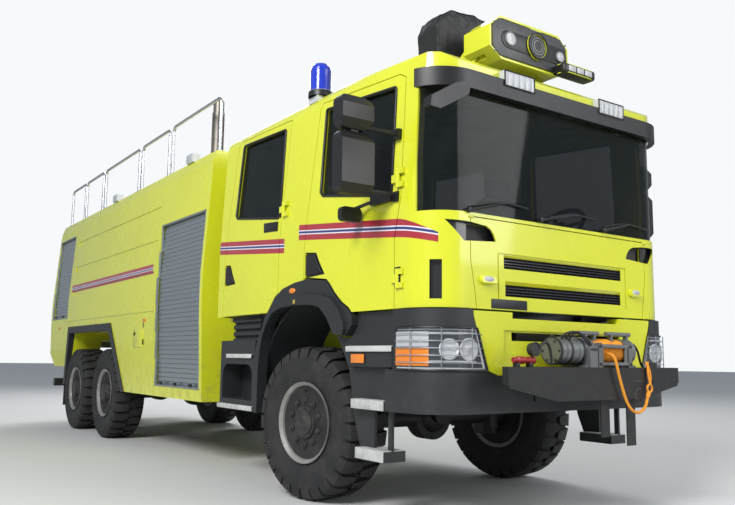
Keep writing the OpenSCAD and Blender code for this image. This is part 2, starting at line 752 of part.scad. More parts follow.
// Heights of the sun visor's lower and upper edges, and how far it stands off the cab
visor_z = [2826, 2952];
visor_out = 48;
module visor_plan(g) {
    translate([-cab_half + cab_corner_r, cab_y0 - g])
        square([2 * (cab_half - cab_corner_r), 250]);
    for (s = [-1, 1])
        translate([s * (cab_half - cab_corner_r), cab_y0 + cab_corner_r]) circle(r = cab_corner_r + g);
}
module sun_visor() {
    color(black) placed() {
        difference() {
            translate([0, 0, visor_z[0]]) linear_extrude(visor_z[1] - visor_z[0]) visor_plan(visor_out);
            block([-2000, cab_y0 + 170, 2800], [2000, 0, 3000]);
            cab_solid(0);
            translate([0, 0, 2800]) linear_extrude(200) visor_plan(0);
            // seats of the brow lamps
            both_sides() brow_lamp(0);
        }
        // front mirror on its arm under the visor's right corner
        along_y(cab_y0 - 190, cab_y0 - 120)
            polygon([[-1400, 2575], [-1320, 2572], [-1090, 2710], [-1075, 2765], [-1110, 2790], [-1200, 2760], [-1390, 2640]]);
        rod([-1150, cab_y0 - 140, 2740], [-960, cab_y0 - 30, 2850], 14);
    }
}
// Brow lamp, its seat grown by g
module brow_lamp(g) {
    block([492 - 143 - g, cab_y0 - visor_out - 6, 2908 - g], [492 + 143 + g, cab_y0 + 55 + g, 3020 + g]);
}

module seat(x, y, w) {
    // cushion, back and head rest of one seat
    block([x - w / 2, y - 250, floor_z + 300], [x + w / 2, y + 230, floor_z + 430]);
    along_x(x - w / 2, x + w / 2)
        polygon([[y + 170, floor_z + 430], [y + 300, floor_z + 430], [y + 400, floor_z + 1060], [y + 290, floor_z + 1060]]);
    block([x - w / 2 + 90, y - 200, floor_z], [x + w / 2 - 90, y + 180, floor_z + 300]);
    along_x(x - 130, x + 130)
        polygon([[y + 300, floor_z + 1060], [y + 385, floor_z + 1060], [y + 410, floor_z + 1230], [y + 325, floor_z + 1230]]);
}
floor_z = cab_z + wall;
driver_x = 640;
module cab_seats() {
    color(dark) placed() {
        both_sides() seat(driver_x, -640, 500);
        // rear bench for four, against the back wall
        translate([0, cab_y1 - wall, floor_z]) {
            block([-980, -590, 0], [980, -210, 320]);
            block([-1000, -640, 320], [1000, -140, 440]);
            along_x(-1000, 1000) polygon([[-170, 440], [-60, 440], [-10, 1080], [-110, 1080]]);
        }
    }
}
// Rear side of the dashboard, from the floor to its top
dash_face = [[-1300, floor_z - 5], [-1240, floor_z + 250], [-1180, floor_z + 450], [-1230, floor_z + 560],
    [-1400, floor_z + 590], [cab_y0 + wall + 10, floor_z + 560], [cab_y0 + wall + 10, floor_z - 5]];
module dashboard() {
    color(dark) placed() intersection() {
        along_x(-1120, 1120) polygon(dash_face);
        cab_solid(wall + fit);
    }
}
module steering_wheel() {
    color(dark) placed() difference() {
        translate([driver_x, -1000, floor_z + 700]) rotate([-35, 0, 0]) {
            rotate_extrude() translate([201, -12]) square([26, 24]);
            cylinder(r = 55, h = 36, center = true);
            for (a = [0, 120, 240]) rotate(a + 90) translate([0, -16, -8]) cube([212, 32, 14]);
            // column down to the dashboard
            translate([0, 0, -400]) cylinder(r = 30, h = 390);
        }
        translate([0, fit, 0]) along_x(driver_x - 50, driver_x + 50) polygon(dash_face);
    }
}

// Everything of the moulded front below the cab follows this plan, grown by g
module front_plan(g) {
    translate([-cab_half - g, cab_y0 + cab_corner_r]) square([2 * (cab_half + g), 200]);
    translate([-cab_half + cab_corner_r, cab_y0 - g])
        square([2 * (cab_half - cab_corner_r), cab_corner_r + g + 200]);
    for (s = [-1, 1])
        translate([s * (cab_half - cab_corner_r), cab_y0 + cab_corner_r]) circle(r = cab_corner_r + g);
}
bumper_z = 727;
centre_slope = [[908, 1348], [789, 998], [695, 964]];
module front_bumper() {
    color(dark) placed() difference() {
        translate([0, 0, bumper_z]) linear_extrude(cab_z - 8 - bumper_z) difference() {
            front_plan(25);
            front_plan(-20);
            translate([-2000, cab_y0 + 469]) square([4000, 1000]);
        }
        // the upper part ends behind the head lamps
        block([-2000, cab_y0 + 385, 995], [2000, 0, cab_z]);
        // opening for the body-coloured centre piece
        along_y(cab_y0 - 100, cab_y0 + 200)
            polygon([[-914, cab_z + 1], [914, cab_z + 1], [912, 1340], [795, 990], [700, 966 - fit],
                [-700, 966 - fit], [-795, 990], [-912, 1340]]);
        // pockets for the head lamps
        both_sides() {
            lamp_space(0);
            bracket_slot();
        }
    }
    // pads that meet the frame rails, with a slot for the winch tray's bracket
    color(dark) placed() both_sides() difference() {
        block([frame_half - rail_w, cab_y0 + 10, rail_z + 20], [frame_half, cab_y0 + 120 - fit, 940]);
        bracket_slot();
    }
}
module lamp_space(g) {
    intersection() {
        translate([0, 0, 960]) linear_extrude(340) difference() {
            front_plan(26 - g);
            front_plan(-70);
            translate([-2000, -2400]) square([2700, 3000]);
            translate([0, -1250 - g]) square([2000, 1000]);
        }
        along_y(cab_y0 - 300, cab_y0 + 600)
            polygon([[812 + g, 1003 + g], [1400, 1003 + g], [1400, 1260 - g], [892 + g, 1260 - g]]);
    }
}
module bracket_slot() {
    block([frame_half - 60 - fit, cab_y0 - 40, rail_z - 5], [frame_half - 48 + fit, cab_y0 + 121, 950 + fit]);
}
module bumper_centre() {
    color(paint) placed() difference() {
        along_y(cab_y0 - 20, cab_y0 + 100)
            polygon([[-906, 1376], [906, 1376], [904, 1342], [789, 998], [695, 966], [-695, 966],
                [-789, 998], [-904, 1342]]);
        // slot under the panel, and the slot over the winch in its stepped frame
        block([-560, cab_y0 - 21, 1336], [560, cab_y0 + 101, 1377]);
        block([-560, cab_y0 - 21, 1190], [560, cab_y0 + 101, 1246]);
        block([-640, cab_y0 - 21, 1110], [640, cab_y0 - 8, 1258]);
        block([-780, cab_y0 + 10, 980], [780, cab_y0 + 101, 1240]);
    }
}

module lamp_housings() {
    color("white") placed() {
        // head lamps that wrap the corners
        both_sides() lamp_space(fit);
        // lamps in the roof brow
        both_sides() brow_lamp(-fit);
        // warning beacon on its bracket at the roof's right edge
        difference() {
            union() {
                block([-1150, -50, roof_z - 60], [-960, 90, roof_z + 20]);
                translate([-1080, 20, roof_z - 5]) {
                    cylinder(r = 98, h = 48);
                    translate([0, 0, 47]) cylinder(r = 86, h = 180);
                    translate([0, 0, 226]) cylinder(r1 = 86, r2 = 58, h = 60);
                }
            }
            cab_solid(-fit);
        }
        // work lamps along the body roof's edges
        both_sides()
            for (y = [2610, 5280])
                block([1085, y - 90, body_roof_z], [1175, y + 90, body_roof_z + 95]);
        // tail lamps
        both_sides()
            along_x(980, 1120)
                polygon([[body_y1 - 1.1, 1120], [body_y1 + 50, 1120], [body_y1 + 44, 1420], [body_y1 - 10.8, 1420]]);
    }
}

// Front fender: flare over the wheel, liner round it and panels down to the steps
module front_fenders() {
    lip_x = cab_half - wall + 5;
    color(dark) placed() both_sides() {
        // flare: a band near the cab's side, and its lip that stands out below the ridge
        union() {
            along_x(lip_x, cab_half + 8)
                polygon(concat([[752, 600], [752, 1190]], grown(flare_edge, -fit),
                    [[-623, 1222]], [for (i = [len(opening_edge) - 1:-1:0]) opening_edge[i]]));
            along_x(cab_half + 7, cab_half + 35)
                polygon(concat([[742, 604], [736, 1080], [700, 1170]], flare_ridge,
                    [for (i = [len(opening_edge) - 1:-1:0]) opening_edge[i]]));
        }
        // inner liner
        along_x(hump_x + hump_t + fit, lip_x - fit) difference() {
            intersection() {
                translate([0, arch_z]) circle(r = arch_r + 30);
                translate([-500, arch_z]) square([1295, 1000]);
            }
            translate([0, arch_z]) circle(r = arch_r + 18);
        }
    }
}
// Each front step: lower edge, upper edge, front end, rear end and inner side
front_steps = [[1109, 1145, -1203, -664, 1150], [724, 786, -1122, -742, 1110], [396, 466, -1125, -802, 1060]];
// Face of the panel behind the front steps, and how far the steps stand out
step_panel_x = cab_half - 40;
step_out = cab_half + 25;
module cab_steps() {
    color(dark) placed() both_sides() {
        // panel ahead of the wheel with its three steps
        union() {
            difference() {
                along_x(step_panel_x - 21, step_panel_x)
                    polygon([[-440, 1222], [-501, 1162], [-617, 983], [-662, 789], [-710, 600], [-775, 445], [-775, 396],
                        [-1125, 396], [-1125, 985], [-1205, 998], [-1205, cab_z - air],
                        [-714, cab_z - air], [-714, 1288], [-630, 1208]]);
                block([step_panel_x - 40, -1086, 470], [step_panel_x + 1, -932, 715]);
            }
            // hanger under the cab
            block([cab_half - wall - 160, -1094, cab_z - 60], [cab_half - wall - 120, -796, cab_z - fit]);
            block([cab_half - wall - 160, -1094, cab_z - 60], [step_panel_x - 1, -796, cab_z - air]);
            for (s = front_steps)
                block([s[4], s[2], s[0]], [step_out, s[3], s[1]]);
            // lamp block under the upper step, its underside drawn back for the foot
            intersection() {
                block([step_panel_x - 1, -1192, 860], [step_out - 12, -696, front_steps[0][0] + 1]);
                along_y(-1200, -690)
                    polygon([[step_panel_x - 1, 998], [step_out - 40, 998], [step_out - 12, 1010], [step_out - 12, 1150],
                        [step_panel_x - 1, 1150]]);
            }
            // amber side marker
            block([step_out - 13, -887, 1030], [step_out - 4, -729, 1096]);
        }
        // step box behind the wheel, on its arm from the frame
        union() {
            difference() {
                union() {
                    block([820, 812, 640], [cab_half - 10, 1510, 1210]);
                    for (y = [950, 1350]) block([frame_half + fit, y - 30, 850], [830, y + 30, 930]);
                }
                // toe recess with a rounded roof
                along_x(1000, cab_half)
                    polygon(concat([[860, 690]], arc(960, 900, 100, 180, 90, 5), arc(1360, 900, 100, 90, 0, 5), [[1460, 690]]));
            }
            // two treads
            block([1000, 850, 1052], [cab_half + 6, 1360, 1087]);
            block([940, 800, 602], [cab_half + 12, 1510, 641]);
            // folded skirt between box and cab
            difference() {
                block([1010, 756, 1209], [cab_half - 25, 1290, cab_z - fit]);
                for (z = [1240, 1300, 1360])
                    along_y(700, 1300) polygon([[cab_half - 24, z - 18], [cab_half - 50, z], [cab_half - 24, z + 18]]);
            }
        }
    }
}

// BODY

body_low_half = body_half - 38;
body_top_half = body_half - 68;
// Section of the body in (x, z)
module body_section() {
    polygon([[-body_low_half, skirt_z], [body_low_half, skirt_z], [body_half, 1560], [body_half, 1900],
        [body_top_half, body_roof_z - 110], [body_top_half - 35, body_roof_z],
        [35 - body_top_half, body_roof_z], [-body_top_half, body_roof_z - 110],
        [-body_half, 1900], [-body_half, 1560]]);
}
// Front and rear legs of the wheel arch: low y, high y, at the arch's inner edge
arch_low = [axle_y[1] - 703, axle_y[2] + 684];
arch_high = [axle_y[1] - 138, axle_y[2] + 384];
arch_top = 1385;
module arch_outline(g) {
    polygon([[arch_low[0] - g, skirt_z - 400], [arch_low[0] - g, skirt_z], [arch_high[0] - g * 0.8, arch_top + g],
        [arch_high[1] + g * 0.8, arch_top + g], [arch_low[1] + g, 330], [arch_low[1] + g, 200]]);
}
// Each side shutter: front and rear end, lower and upper edge
shutter_table = [[body_front + 70, body_front + 1320, 740, 2540], [body_y1 - 1040, body_y1 - 110, 1620, 2905]];
// Recessed bands of the tank side: middle height
band_z = [1990, 2355, 2750];
// Depth of the roof walkway, and place of the exhaust stack along Y
deck_drop = 55;
stack_y = body_front + 580;
module body_shell() {
    color(paint) placed() difference() {
        intersection() {
            along_y(body_front, body_y1) body_section();
            along_x(-body_half, body_half)
                polygon([[body_front, skirt_z], [arch_low[0] + 60, skirt_z], [arch_low[1] - 100, 883],
                    [body_y1 - 310, 883], [body_y1, 1077], [body_y1 - 60, 2920], [body_y1 - 130, body_roof_z],
                    [body_front, body_roof_z]]);
        }
        // tunnel over the chassis
        block([-700, body_front - 1, 0], [700, body_y1 + 1, rail_top + sub_h + fit]);
        // skirts are hollow behind the front locker
        block([-760, body_front + 1400, 0], [760, body_y1 + 1, arch_top - 100]);
        both_sides()
            block([500, body_front + 1450, 0], [body_low_half - 60, arch_low[0] + 300, arch_top - 100]);
        // wheel housings
        along_x(-2000, 2000) arch_outline(0);
        // seats of the wheel arch trims
        both_sides() along_x(body_low_half - 40 - fit, body_half + 60) arch_outline(95 + fit);
        // walkway sunk into the roof, and a separate well round the exhaust
        block([-1010, body_front + 120, body_roof_z - deck_drop], [1010, stack_y + 110, body_roof_z + 1]);
        block([-1010, stack_y + 170, body_roof_z - deck_drop], [1010, body_y1 - 260, body_roof_z + 1]);
        both_sides() {
            for (s = shutter_table)
                shutter_band(s, seam, 40, 60);
            for (z = band_z)
                block([side_x(z) - 12, body_front + 1420, z - 34], [body_half + 10, body_y1 - 1270, z + 34]);
            // panel seams
            block([body_half - 40, body_front + 1366, skirt_z], [body_half + 10, body_front + 1374, 2990]);
            block([body_half - 12, body_front + 1374, 1561], [body_half + 10, arch_high[1] + 240, 1569]);
        }
        // rear shutter recess
        block([-850, body_y1 - 110, 1180], [850, body_y1 + 1, 2700]);
    }
}
// Half width of the body at height z, above its widest stretch
function side_x(z) = z < 1900 ? body_half : body_half - (z - 1900) * (body_half - body_top_half) / (body_roof_z - 110 - 1900);

// A band of the body's side, from depth d0 to d1 under its surface, over one shutter
module shutter_band(s, g, d0, d1) {
    intersection() {
        along_y(s[0] - g, s[1] + g) difference() {
            polygon([[600, s[2] - g - 400], [body_low_half - d0 + 100, s[2] - g - 400], [body_low_half + 100, s[2] - g - 400],
                [body_half + 100, 1560], [body_half + 100, s[3] + 500], [600, s[3] + 500]]);
            translate([-d1, 0]) polygon([[0, 0], [body_low_half, skirt_z], [body_half, 1560], [body_half, 1900],
                [body_top_half, body_roof_z - 110], [body_top_half, 4000], [0, 4000]]);
        }
        block([500, s[0] - g, s[2] - g], [body_half + 50, s[1] + g, s[3] + g]);
    }
}
// Half width of the body at height z
function side_at(z) = z < 1560 ? body_low_half + (z - skirt_z) * (body_half - body_low_half) / (1560 - skirt_z) : side_x(z);
// Outside of a shutter in (x, z) from low to high: round slats with grooves between them
slat_h = 48;
slat_groove = 7;
module slats(low, high) {
    count = floor((high - low) / slat_h);
    step = (high - low) / count;
    polygon(concat([for (k = [0:count - 1], p = [[0, 36 + slat_groove], [5, 36], [step - 5, 36]])
            let (z = low + k * step + p[0]) [side_at(z) - p[1], z]],
        [for (z = [high, 1900, 1560, low]) if (z >= low && z <= high) [side_at(z) - 60 + fit, z]]));
}
module roller_shutters() {
    color("gray") placed() {
        both_sides()
            for (s = shutter_table) along_y(s[0], s[1]) slats(s[2], s[3]);
        // rear shutter
        along_x(-844, 844) {
            low = 1186;
            count = 31;
            y = body_y1 - 110 + fit;
            polygon(concat([[y, low]], [for (k = [0:count - 1], p = [[0, 15 - slat_groove], [5, 15], [slat_h - 5, 15]])
                [y + p[1], low + k * slat_h + p[0]]], [[y + 8, low + count * slat_h], [y, low + count * slat_h]]));
        }
    }
}

// Each rail hoop: front and rear end along Y, from the body's front wall
hoops = [[60, 1400], [1520, 2480], [2600, 4100], [4220, 5100], [5180, 5950]];
module roof_rails() {
    z0 = body_roof_z;
    z1 = body_roof_z + rail_rise;
    x = body_top_half - 85;
    color(steel) placed() both_sides()
        for (h = hoops)
            union() {
                a = body_front + h[0];
                b = body_front + h[1];
                rod([x, a, z0], [x, a, z1 - 60], rail_tube_r);
                rod([x, b, z0], [x, b, z1 - 60], rail_tube_r);
                rod([x, a + 60, z1], [x, b - 60, z1], rail_tube_r);
                translate([x, a + 60, z1 - 60]) rotate([0, 90, 0]) rotate([0, 0, 180])
                    rotate_extrude(angle = 90) translate([60, 0]) circle(r = rail_tube_r);
                translate([x, b - 60, z1 - 60]) rotate([0, 90, 0]) rotate([0, 0, 90])
                    rotate_extrude(angle = 90) translate([60, 0]) circle(r = rail_tube_r);
                for (y = [a, b]) translate([x, y, z0]) cylinder(r = 42, h = 10);
            }
}

module arch_trims() {
    color(dark) placed() both_sides() {
        intersection() {
            along_x(body_low_half - 40, body_half + 14) difference() {
                arch_outline(95);
                arch_outline(0);
                translate([0, -1000]) square([12000, skirt_z + 1000 - 6]);
            }
            along_y(0, 12000) polygon([[0, 0], [body_low_half + 14, 0], [body_low_half + 14, skirt_z],
                [body_half + 14, 1560], [body_half + 14, 2000], [0, 2000]]);
        }
        // mud flap behind the last wheel
        block([wheel_out - tyre_w - 10, arch_low[1] + 4, 300], [body_low_half - 4, arch_low[1] + 16, 883 - fit]);
    }
}

module exhaust_stack() {
    color("dimgray") placed() translate([-900, stack_y, body_roof_z - deck_drop + fit]) union() {
        cylinder(r = 95, h = 16);
        cylinder(r = 60, h = 775);
        translate([0, 0, 120]) cylinder(r = 68, h = 520);
    }
}

// WINCH

winch_y = nose_y + 120;
drum_z = tray_z + 106;
drum_r = 70;
module winch_frame() {
    back = cab_y0 - 26;
    // half width of the tray where it meets the bumper
    root = tray_half - 208;
    color(black) placed() {
        union() {
            translate([0, 0, tray_z - 12]) linear_extrude(12)
                polygon([[-tray_half, nose_y], [tray_half, nose_y], [tray_half, nose_y + 50], [root, back],
                    [-root, back], [-tray_half, nose_y + 50]]);
            // front skirt, deeper in the middle
            along_y(nose_y, nose_y + 12)
                polygon([[-tray_half, tray_z], [tray_half, tray_z], [tray_half - 15, tray_z - 128], [root - 230, tray_z - 214],
                    [230 - root, tray_z - 214], [15 - tray_half, tray_z - 128]]);
            both_sides() {
                block([tray_half - 12, nose_y, tray_z - 110], [tray_half, nose_y + 50, tray_z]);
                // brackets to the frame rails
                along_x(frame_half - 60, frame_half - 48)
                    polygon([[nose_y, tray_z - 6], [back - 4, tray_z - 6], [back - 4, 950],
                        [cab_y0 + 120 - fit, 950], [cab_y0 + 120 - fit, rail_z], [nose_y, tray_z - 130]]);
            }
            // hook plate beside the fairlead
            along_y(nose_y - 12, nose_y + 1)
                polygon([[515, 1060], [595, 1060], [595, 960], [570, 922], [538, 922], [520, 960]]);
            // rubber flaps
            block([60, nose_y + 60, 560], [150, nose_y + 68, tray_z - 12]);
            block([335, nose_y + 60, 490], [430, nose_y + 68, tray_z - 12]);
        }
    }
}
winch_side = 28;
module winch() {
    color("gray") placed() {
        union() {
            // motor with its end cap and clamp bands
            bar_x(-353, -110, winch_y, drum_z, motor_r - 6);
            bar_x(-338, -116, winch_y, drum_z, motor_r);
            for (x = [-290, -170]) bar_x(x, x + 22, winch_y, drum_z, motor_r + 5);
            // gearbox, drum between its flanges, brake
            bar_x(-112, -20, winch_y, drum_z, motor_r + 8);
            bar_x(-20, 330, winch_y, drum_z, drum_r);
            for (x = [-20, 318]) bar_x(x, x + 12, winch_y, drum_z, motor_r + 2);
            bar_x(330, 420, winch_y, drum_z, motor_r + 2);
            bar_x(410, 436, winch_y, drum_z, motor_r - 24);
            // side stands with feet
            for (x = [-100, 340]) {
                block([x, winch_y - 84, tray_z], [x + winch_side, winch_y + 84, drum_z]);
                block([x - 30, winch_y - 100, tray_z], [x + winch_side + 30, winch_y + 100, tray_z + 14]);
            }
            // two tie bars over the drum, on lugs
            for (e = [[-122, 77], [158, 420]]) bar_x(e[0], e[1], winch_y - 36, drum_z + 122, 15);
            for (x = [-70, 20, 200, 370])
                block([x, winch_y - 52, drum_z + 50], [x + 18, winch_y - 20, drum_z + 124]);
        }
        // fairlead in front of the drum: two posts, rollers between them
        union() {
            for (x = [-14, 306]) block([x, nose_y + 4, tray_z], [x + 34, nose_y + 40, tray_z + 164]);
            for (z = [22, 142]) bar_x(10, 316, nose_y + 22, tray_z + z, 14);
            for (x = [36, 290]) translate([x, nose_y + 22, tray_z + 14]) cylinder(r = 12, h = 136);
        }
        // control box beside the fairlead
        block([-100, nose_y + 6, tray_z], [-24, nose_y + 56, tray_z + 140]);
    }
}

// Route of the rope, from the fairlead to the thimble, from the front axle
rope_path = [[100, -1829.5, 1119.9], [100, -1884, 1112], [104, -1905, 1092], [110, -1914, 1062], [120, -1916, 1022],
    [134, -1916, 978], [151, -1916, 930], [170, -1916, 880], [191, -1916, 832], [216, -1916, 788],
    [248, -1916, 752], [286, -1916, 730], [328, -1916, 722], [368, -1916, 730], [402, -1916, 752],
    [428, -1914, 784], [446, -1912, 820]];
rope_sides = 10;

function unit(v) = v / norm(v);
// Sweep of a round tube along the points of a path
module tube(path, d, sides) {
    n = len(path);
    tangents = [for (i = [0:n - 1]) unit(path[min(i + 1, n - 1)] - path[max(i - 1, 0)])];
    side_dirs = [for (t = tangents) unit(cross(t, [0, 1, 0.02]))];
    ring = [for (i = [0:n - 1]) let (a = side_dirs[i], b = cross(tangents[i], a))
        for (k = [0:sides - 1]) path[i] + d / 2 * (cos(360 * k / sides) * a + sin(360 * k / sides) * b)];
    faces = concat(
        [for (i = [0:n - 2], k = [0:sides - 1]) let (m = (k + 1) % sides)
            [i * sides + k, (i + 1) * sides + k, (i + 1) * sides + m, i * sides + m]],
        [[for (k = [0:sides - 1]) k]],
        [[for (k = [sides - 1:-1:0]) (n - 1) * sides + k]]);
    polyhedron(points = ring, faces = faces);
}
module winch_rope() {
    color("orange") placed() tube(rope_path, rope_d, rope_sides);
}
// Direction of the rope at its end
rope_dir = unit(rope_path[16] - rope_path[15]);
module winch_hook() {
    // ferrule, thimble and sling that hold the rope's end to the tray
    color("orange") placed() union() {
        rod(rope_path[16], rope_path[16] + 46 * rope_dir, 14);
        translate(rope_path[16] + 70 * rope_dir) rotate([90, 0, 0]) difference() {
            cylinder(r = 34, h = 18, center = true);
            cylinder(r = 19, h = 20, center = true);
        }
        rod(rope_path[16] + 98 * rope_dir, [490, nose_y - 9, tray_z + 30], 9);
    }
}

// TURRET

turret_y = cab_y0 + turret_back;
tilt_y = turret_y - 320;
base_top = roof_z + 12;
turn_top = base_top + air + 40;
spigot_r = 100;
// Cloth cover between head and rear housing: its front and back along Y
cover_y = [turret_y - 115, turret_y + 140];
module turret_base() {
    color("gray") placed() difference() {
        union() {
            along_x(-550, 740)
                polygon([[-1300, roof_z - 108.6], [-1250, roof_z - 105 + fit], [-750, roof_z - 62 + fit],
                    [-380, roof_z - 23.3], [-380, roof_z], [-1300, roof_z]]);
            translate([0, turret_y, base_top - 30]) cylinder(r = 300, h = 30);
        }
        translate([0, turret_y, base_top - 20]) cylinder(r = spigot_r + fit, h = 21);
    }
}
module turntable(g) {
    translate([0, turret_y, base_top + air - g]) cylinder(r = 290 + g, h = 40 + 2 * g);
}
module turret_swivel() {
    arm = [[tilt_y + 40, base_top + 12], [cover_y[0] - 10, base_top + 12], [cover_y[0] - 10, tilt_z - 60],
        [tilt_y + 50, tilt_z + 45], [tilt_y - 45, tilt_z + 45], [tilt_y - 45, tilt_z - 45], [tilt_y + 40, tilt_z - 150]];
    color(paint) placed() union() {
        turntable(0);
        translate([0, turret_y, base_top - 20 + fit]) cylinder(r = spigot_r, h = 50);
        // rounded housing behind the cover
        intersection() {
            translate([0, turret_y + 160, 0]) rotate_extrude() {
                translate([0, base_top + 18]) square([220, 573]);
                translate([0, base_top + 18]) square([440, 353]);
                translate([220, base_top + 371]) circle(r = 220);
            }
            block([-700, cover_y[1] + fit, base_top], [700, turret_y + 700, 4000]);
        }
        // arms to the tilt pins, on their cross beam
        both_sides() {
            along_x(cowl_half - 70, cowl_half - 50) polygon(arm);
            bar_x(cowl_half - 52, cowl_half - 14, tilt_y, tilt_z, 22);
        }
        block([-cowl_half + 60, tilt_y + 45, base_top + 13], [cowl_half - 60, cover_y[0] - 12, turn_top - 1]);
    }
}
module turret_cover() {
    color(black) placed() difference() {
        along_y(cover_y[0], cover_y[1])
            polygon([[-585, base_top + 16], [-600, 3640], [-560, 3740], [-440, 3810], [-200, 3838], [100, 3812],
                [380, 3730], [480, 3640], [500, base_top + 16]]);
        turntable(fit);
    }
}
// Outline of the monitor's head seen from the front
head_low = tilt_z - 180;
head_high = tilt_z + 160;
module head_face(g) {
    h = cowl_half - g;
    polygon([[-h, head_low + 80], [-h + 120, head_low + g], [h - 120, head_low + g], [h, head_low + 80],
        [h, head_high - 90], [h - 110, head_high - g], [110 - h, head_high - g], [-h, head_high - 90]]);
}
module turret_head() {
    front = tilt_y - 180;
    color(paint) placed() difference() {
        union() {
            difference() {
                along_y(front, tilt_y + 100) head_face(0);
                // face set back in the cowl
                along_y(front - 1, front + 14) head_face(16);
            }
            // pear-shaped rim round the nozzle
            along_y(front - 4, front + 20) difference() {
                union() {
                    translate([60, tilt_z]) circle(r = 150);
                    polygon([[60 - 50, tilt_z - 141], [60 - 40, tilt_z + 144], [-130, tilt_z + 60], [-130, tilt_z + 10]]);
                }
                translate([60, tilt_z]) circle(r = 128);
            }
            // nozzle barrel and its centre body
            difference() {
                bar_y(front - 30, front + 60, 60, tilt_z, 106);
                bar_y(front - 31, front + 40, 60, tilt_z, 88);
            }
            bar_y(front - 10, front + 60, 60, tilt_z, 30);
            // two round lamps
            bar_y(front - 12, front + 20, -230, tilt_z - 10, 52);
            bar_y(front - 12, front + 20, 320, tilt_z - 20, 42);
            // flat lamp on its arm under the face
            translate([0, 0, head_low - 6]) linear_extrude(72) {
                translate([300, front - 70]) circle(r = 60);
                translate([540, front - 70]) circle(r = 60);
                translate([300, front - 130]) square([240, 120]);
            }
            block([260, front - 40, head_low + 20], [400, front + 20, head_low + 50]);
        }
        // slots for the swivel's arms
        both_sides() {
            block([cowl_half - 78, tilt_y - 76, tilt_z - 200], [cowl_half - 42, tilt_y + 200, tilt_z + 300]);
            bar_x(cowl_half - 60, cowl_half - 10, tilt_y, tilt_z, 22 + fit);
        }
    }
}

// MIRRORS

module mirror_pair(side) {
    color(dark) placed() on_side(side) {
        // two arms from the door's front frame
        difference() {
            union() {
                rod([cab_half - 40, -1215, 2565], [1500, -1130, 2590], 16);
                rod([cab_half - 20, -1190, 2150], [1500, -1130, 2170], 16);
                for (z = [2100, 2530]) block([cab_half - 40, -1240, z], [cab_half + 12, -1185, z + 70]);
                // foot of the lower arm, with a small mirror for the kerb
                block([cab_half - 40, -1186, 2108], [cab_half + 40, -960, 2168]);
                rod([cab_half + 20, -980, 2140], [cab_half + 80, -800, 2100], 12);
            }
            cab_solid(-fit);
        }
        // main mirror and the wide one over it, rounded on every side
        mirror_shell(1385, 1640, 2128, 2548, 52);
        mirror_shell(1392, 1640, 2562, 2792, 60);
        block([1480, -1140, 2540], [1540, -1110, 2570]);
        mirror_shell_low();
    }
}
// One mirror housing between x0 and x1, z0 and z1, its front edges drawn in
module mirror_shell(x0, x1, z0, z1, r) {
    intersection() {
        along_y(-1195, -1075) rounded([x0, z0], [x1, z1], r);
        along_x(x0 - 1, x1 + 1) polygon([[-1075, z0 - 1], [-1075, z1 + 1], [-1140, z1 + 1], [-1195, z1 - 70],
            [-1195, z0 + 60], [-1150, z0 - 1]]);
    }
}
module mirror_shell_low() {
    along_y(-835, -785) rounded([cab_half + 20, 2010], [cab_half + 190, 2112], 30);
}

chassis_frame();
axle_beams();
leaf_springs();
drive_train();
side_tanks();
cab_shell();
cab_floor();
wheel_humps();
cab_roof();
windscreen();
cab_seats();
dashboard();
steering_wheel();
sun_visor();
lamp_housings();
front_bumper();
bumper_centre();
front_fenders();
cab_steps();
body_shell();
roller_shutters();
roof_rails();
arch_trims();
exhaust_stack();
winch_frame();
winch();
winch_rope();
winch_hook();
turret_base();
front_panel();
turret_swivel();
turret_cover();
turret_head();
door(1, true);  // door_front_left
door(-1, true);  // door_front_right
door(1, false);  // door_rear_left
door(-1, false);  // door_rear_right
door_glass(1, true);  // glass_front_left
door_glass(-1, true);  // glass_front_right
door_glass(1, false);  // glass_rear_left
door_glass(-1, false);  // glass_rear_right
mirror_pair(1);  // mirror_left
mirror_pair(-1);  // mirror_right
knuckle(1);  // knuckle_left
knuckle(-1);  // knuckle_right
tyre_at(1, axle_y[0]);  // tyre_front_left
tyre_at(-1, axle_y[0]);  // tyre_front_right
tyre_at(1, axle_y[1]);  // tyre_middle_left
tyre_at(-1, axle_y[1]);  // tyre_middle_right
tyre_at(1, axle_y[2]);  // tyre_rear_left
tyre_at(-1, axle_y[2]);  // tyre_rear_right
rim_at(1, axle_y[0], 42);  // rim_front_left
rim_at(-1, axle_y[0], 42);  // rim_front_right
rim_at(1, axle_y[1], 52);  // rim_middle_left
rim_at(-1, axle_y[1], 52);  // rim_middle_right
rim_at(1, axle_y[2], 52);  // rim_rear_left
rim_at(-1, axle_y[2], 52);  // rim_rear_right
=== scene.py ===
"""Finishes, trim and fine parts of a six-wheel airport fire truck, round its CAD frame."""

from __future__ import annotations

import json
import logging
import math
from dataclasses import dataclass, field
from enum import Enum
from typing import Any, Dict, Iterable, List, Optional, Sequence, Tuple, Union

import bmesh
import bpy
from mathutils import Matrix, noise, Vector

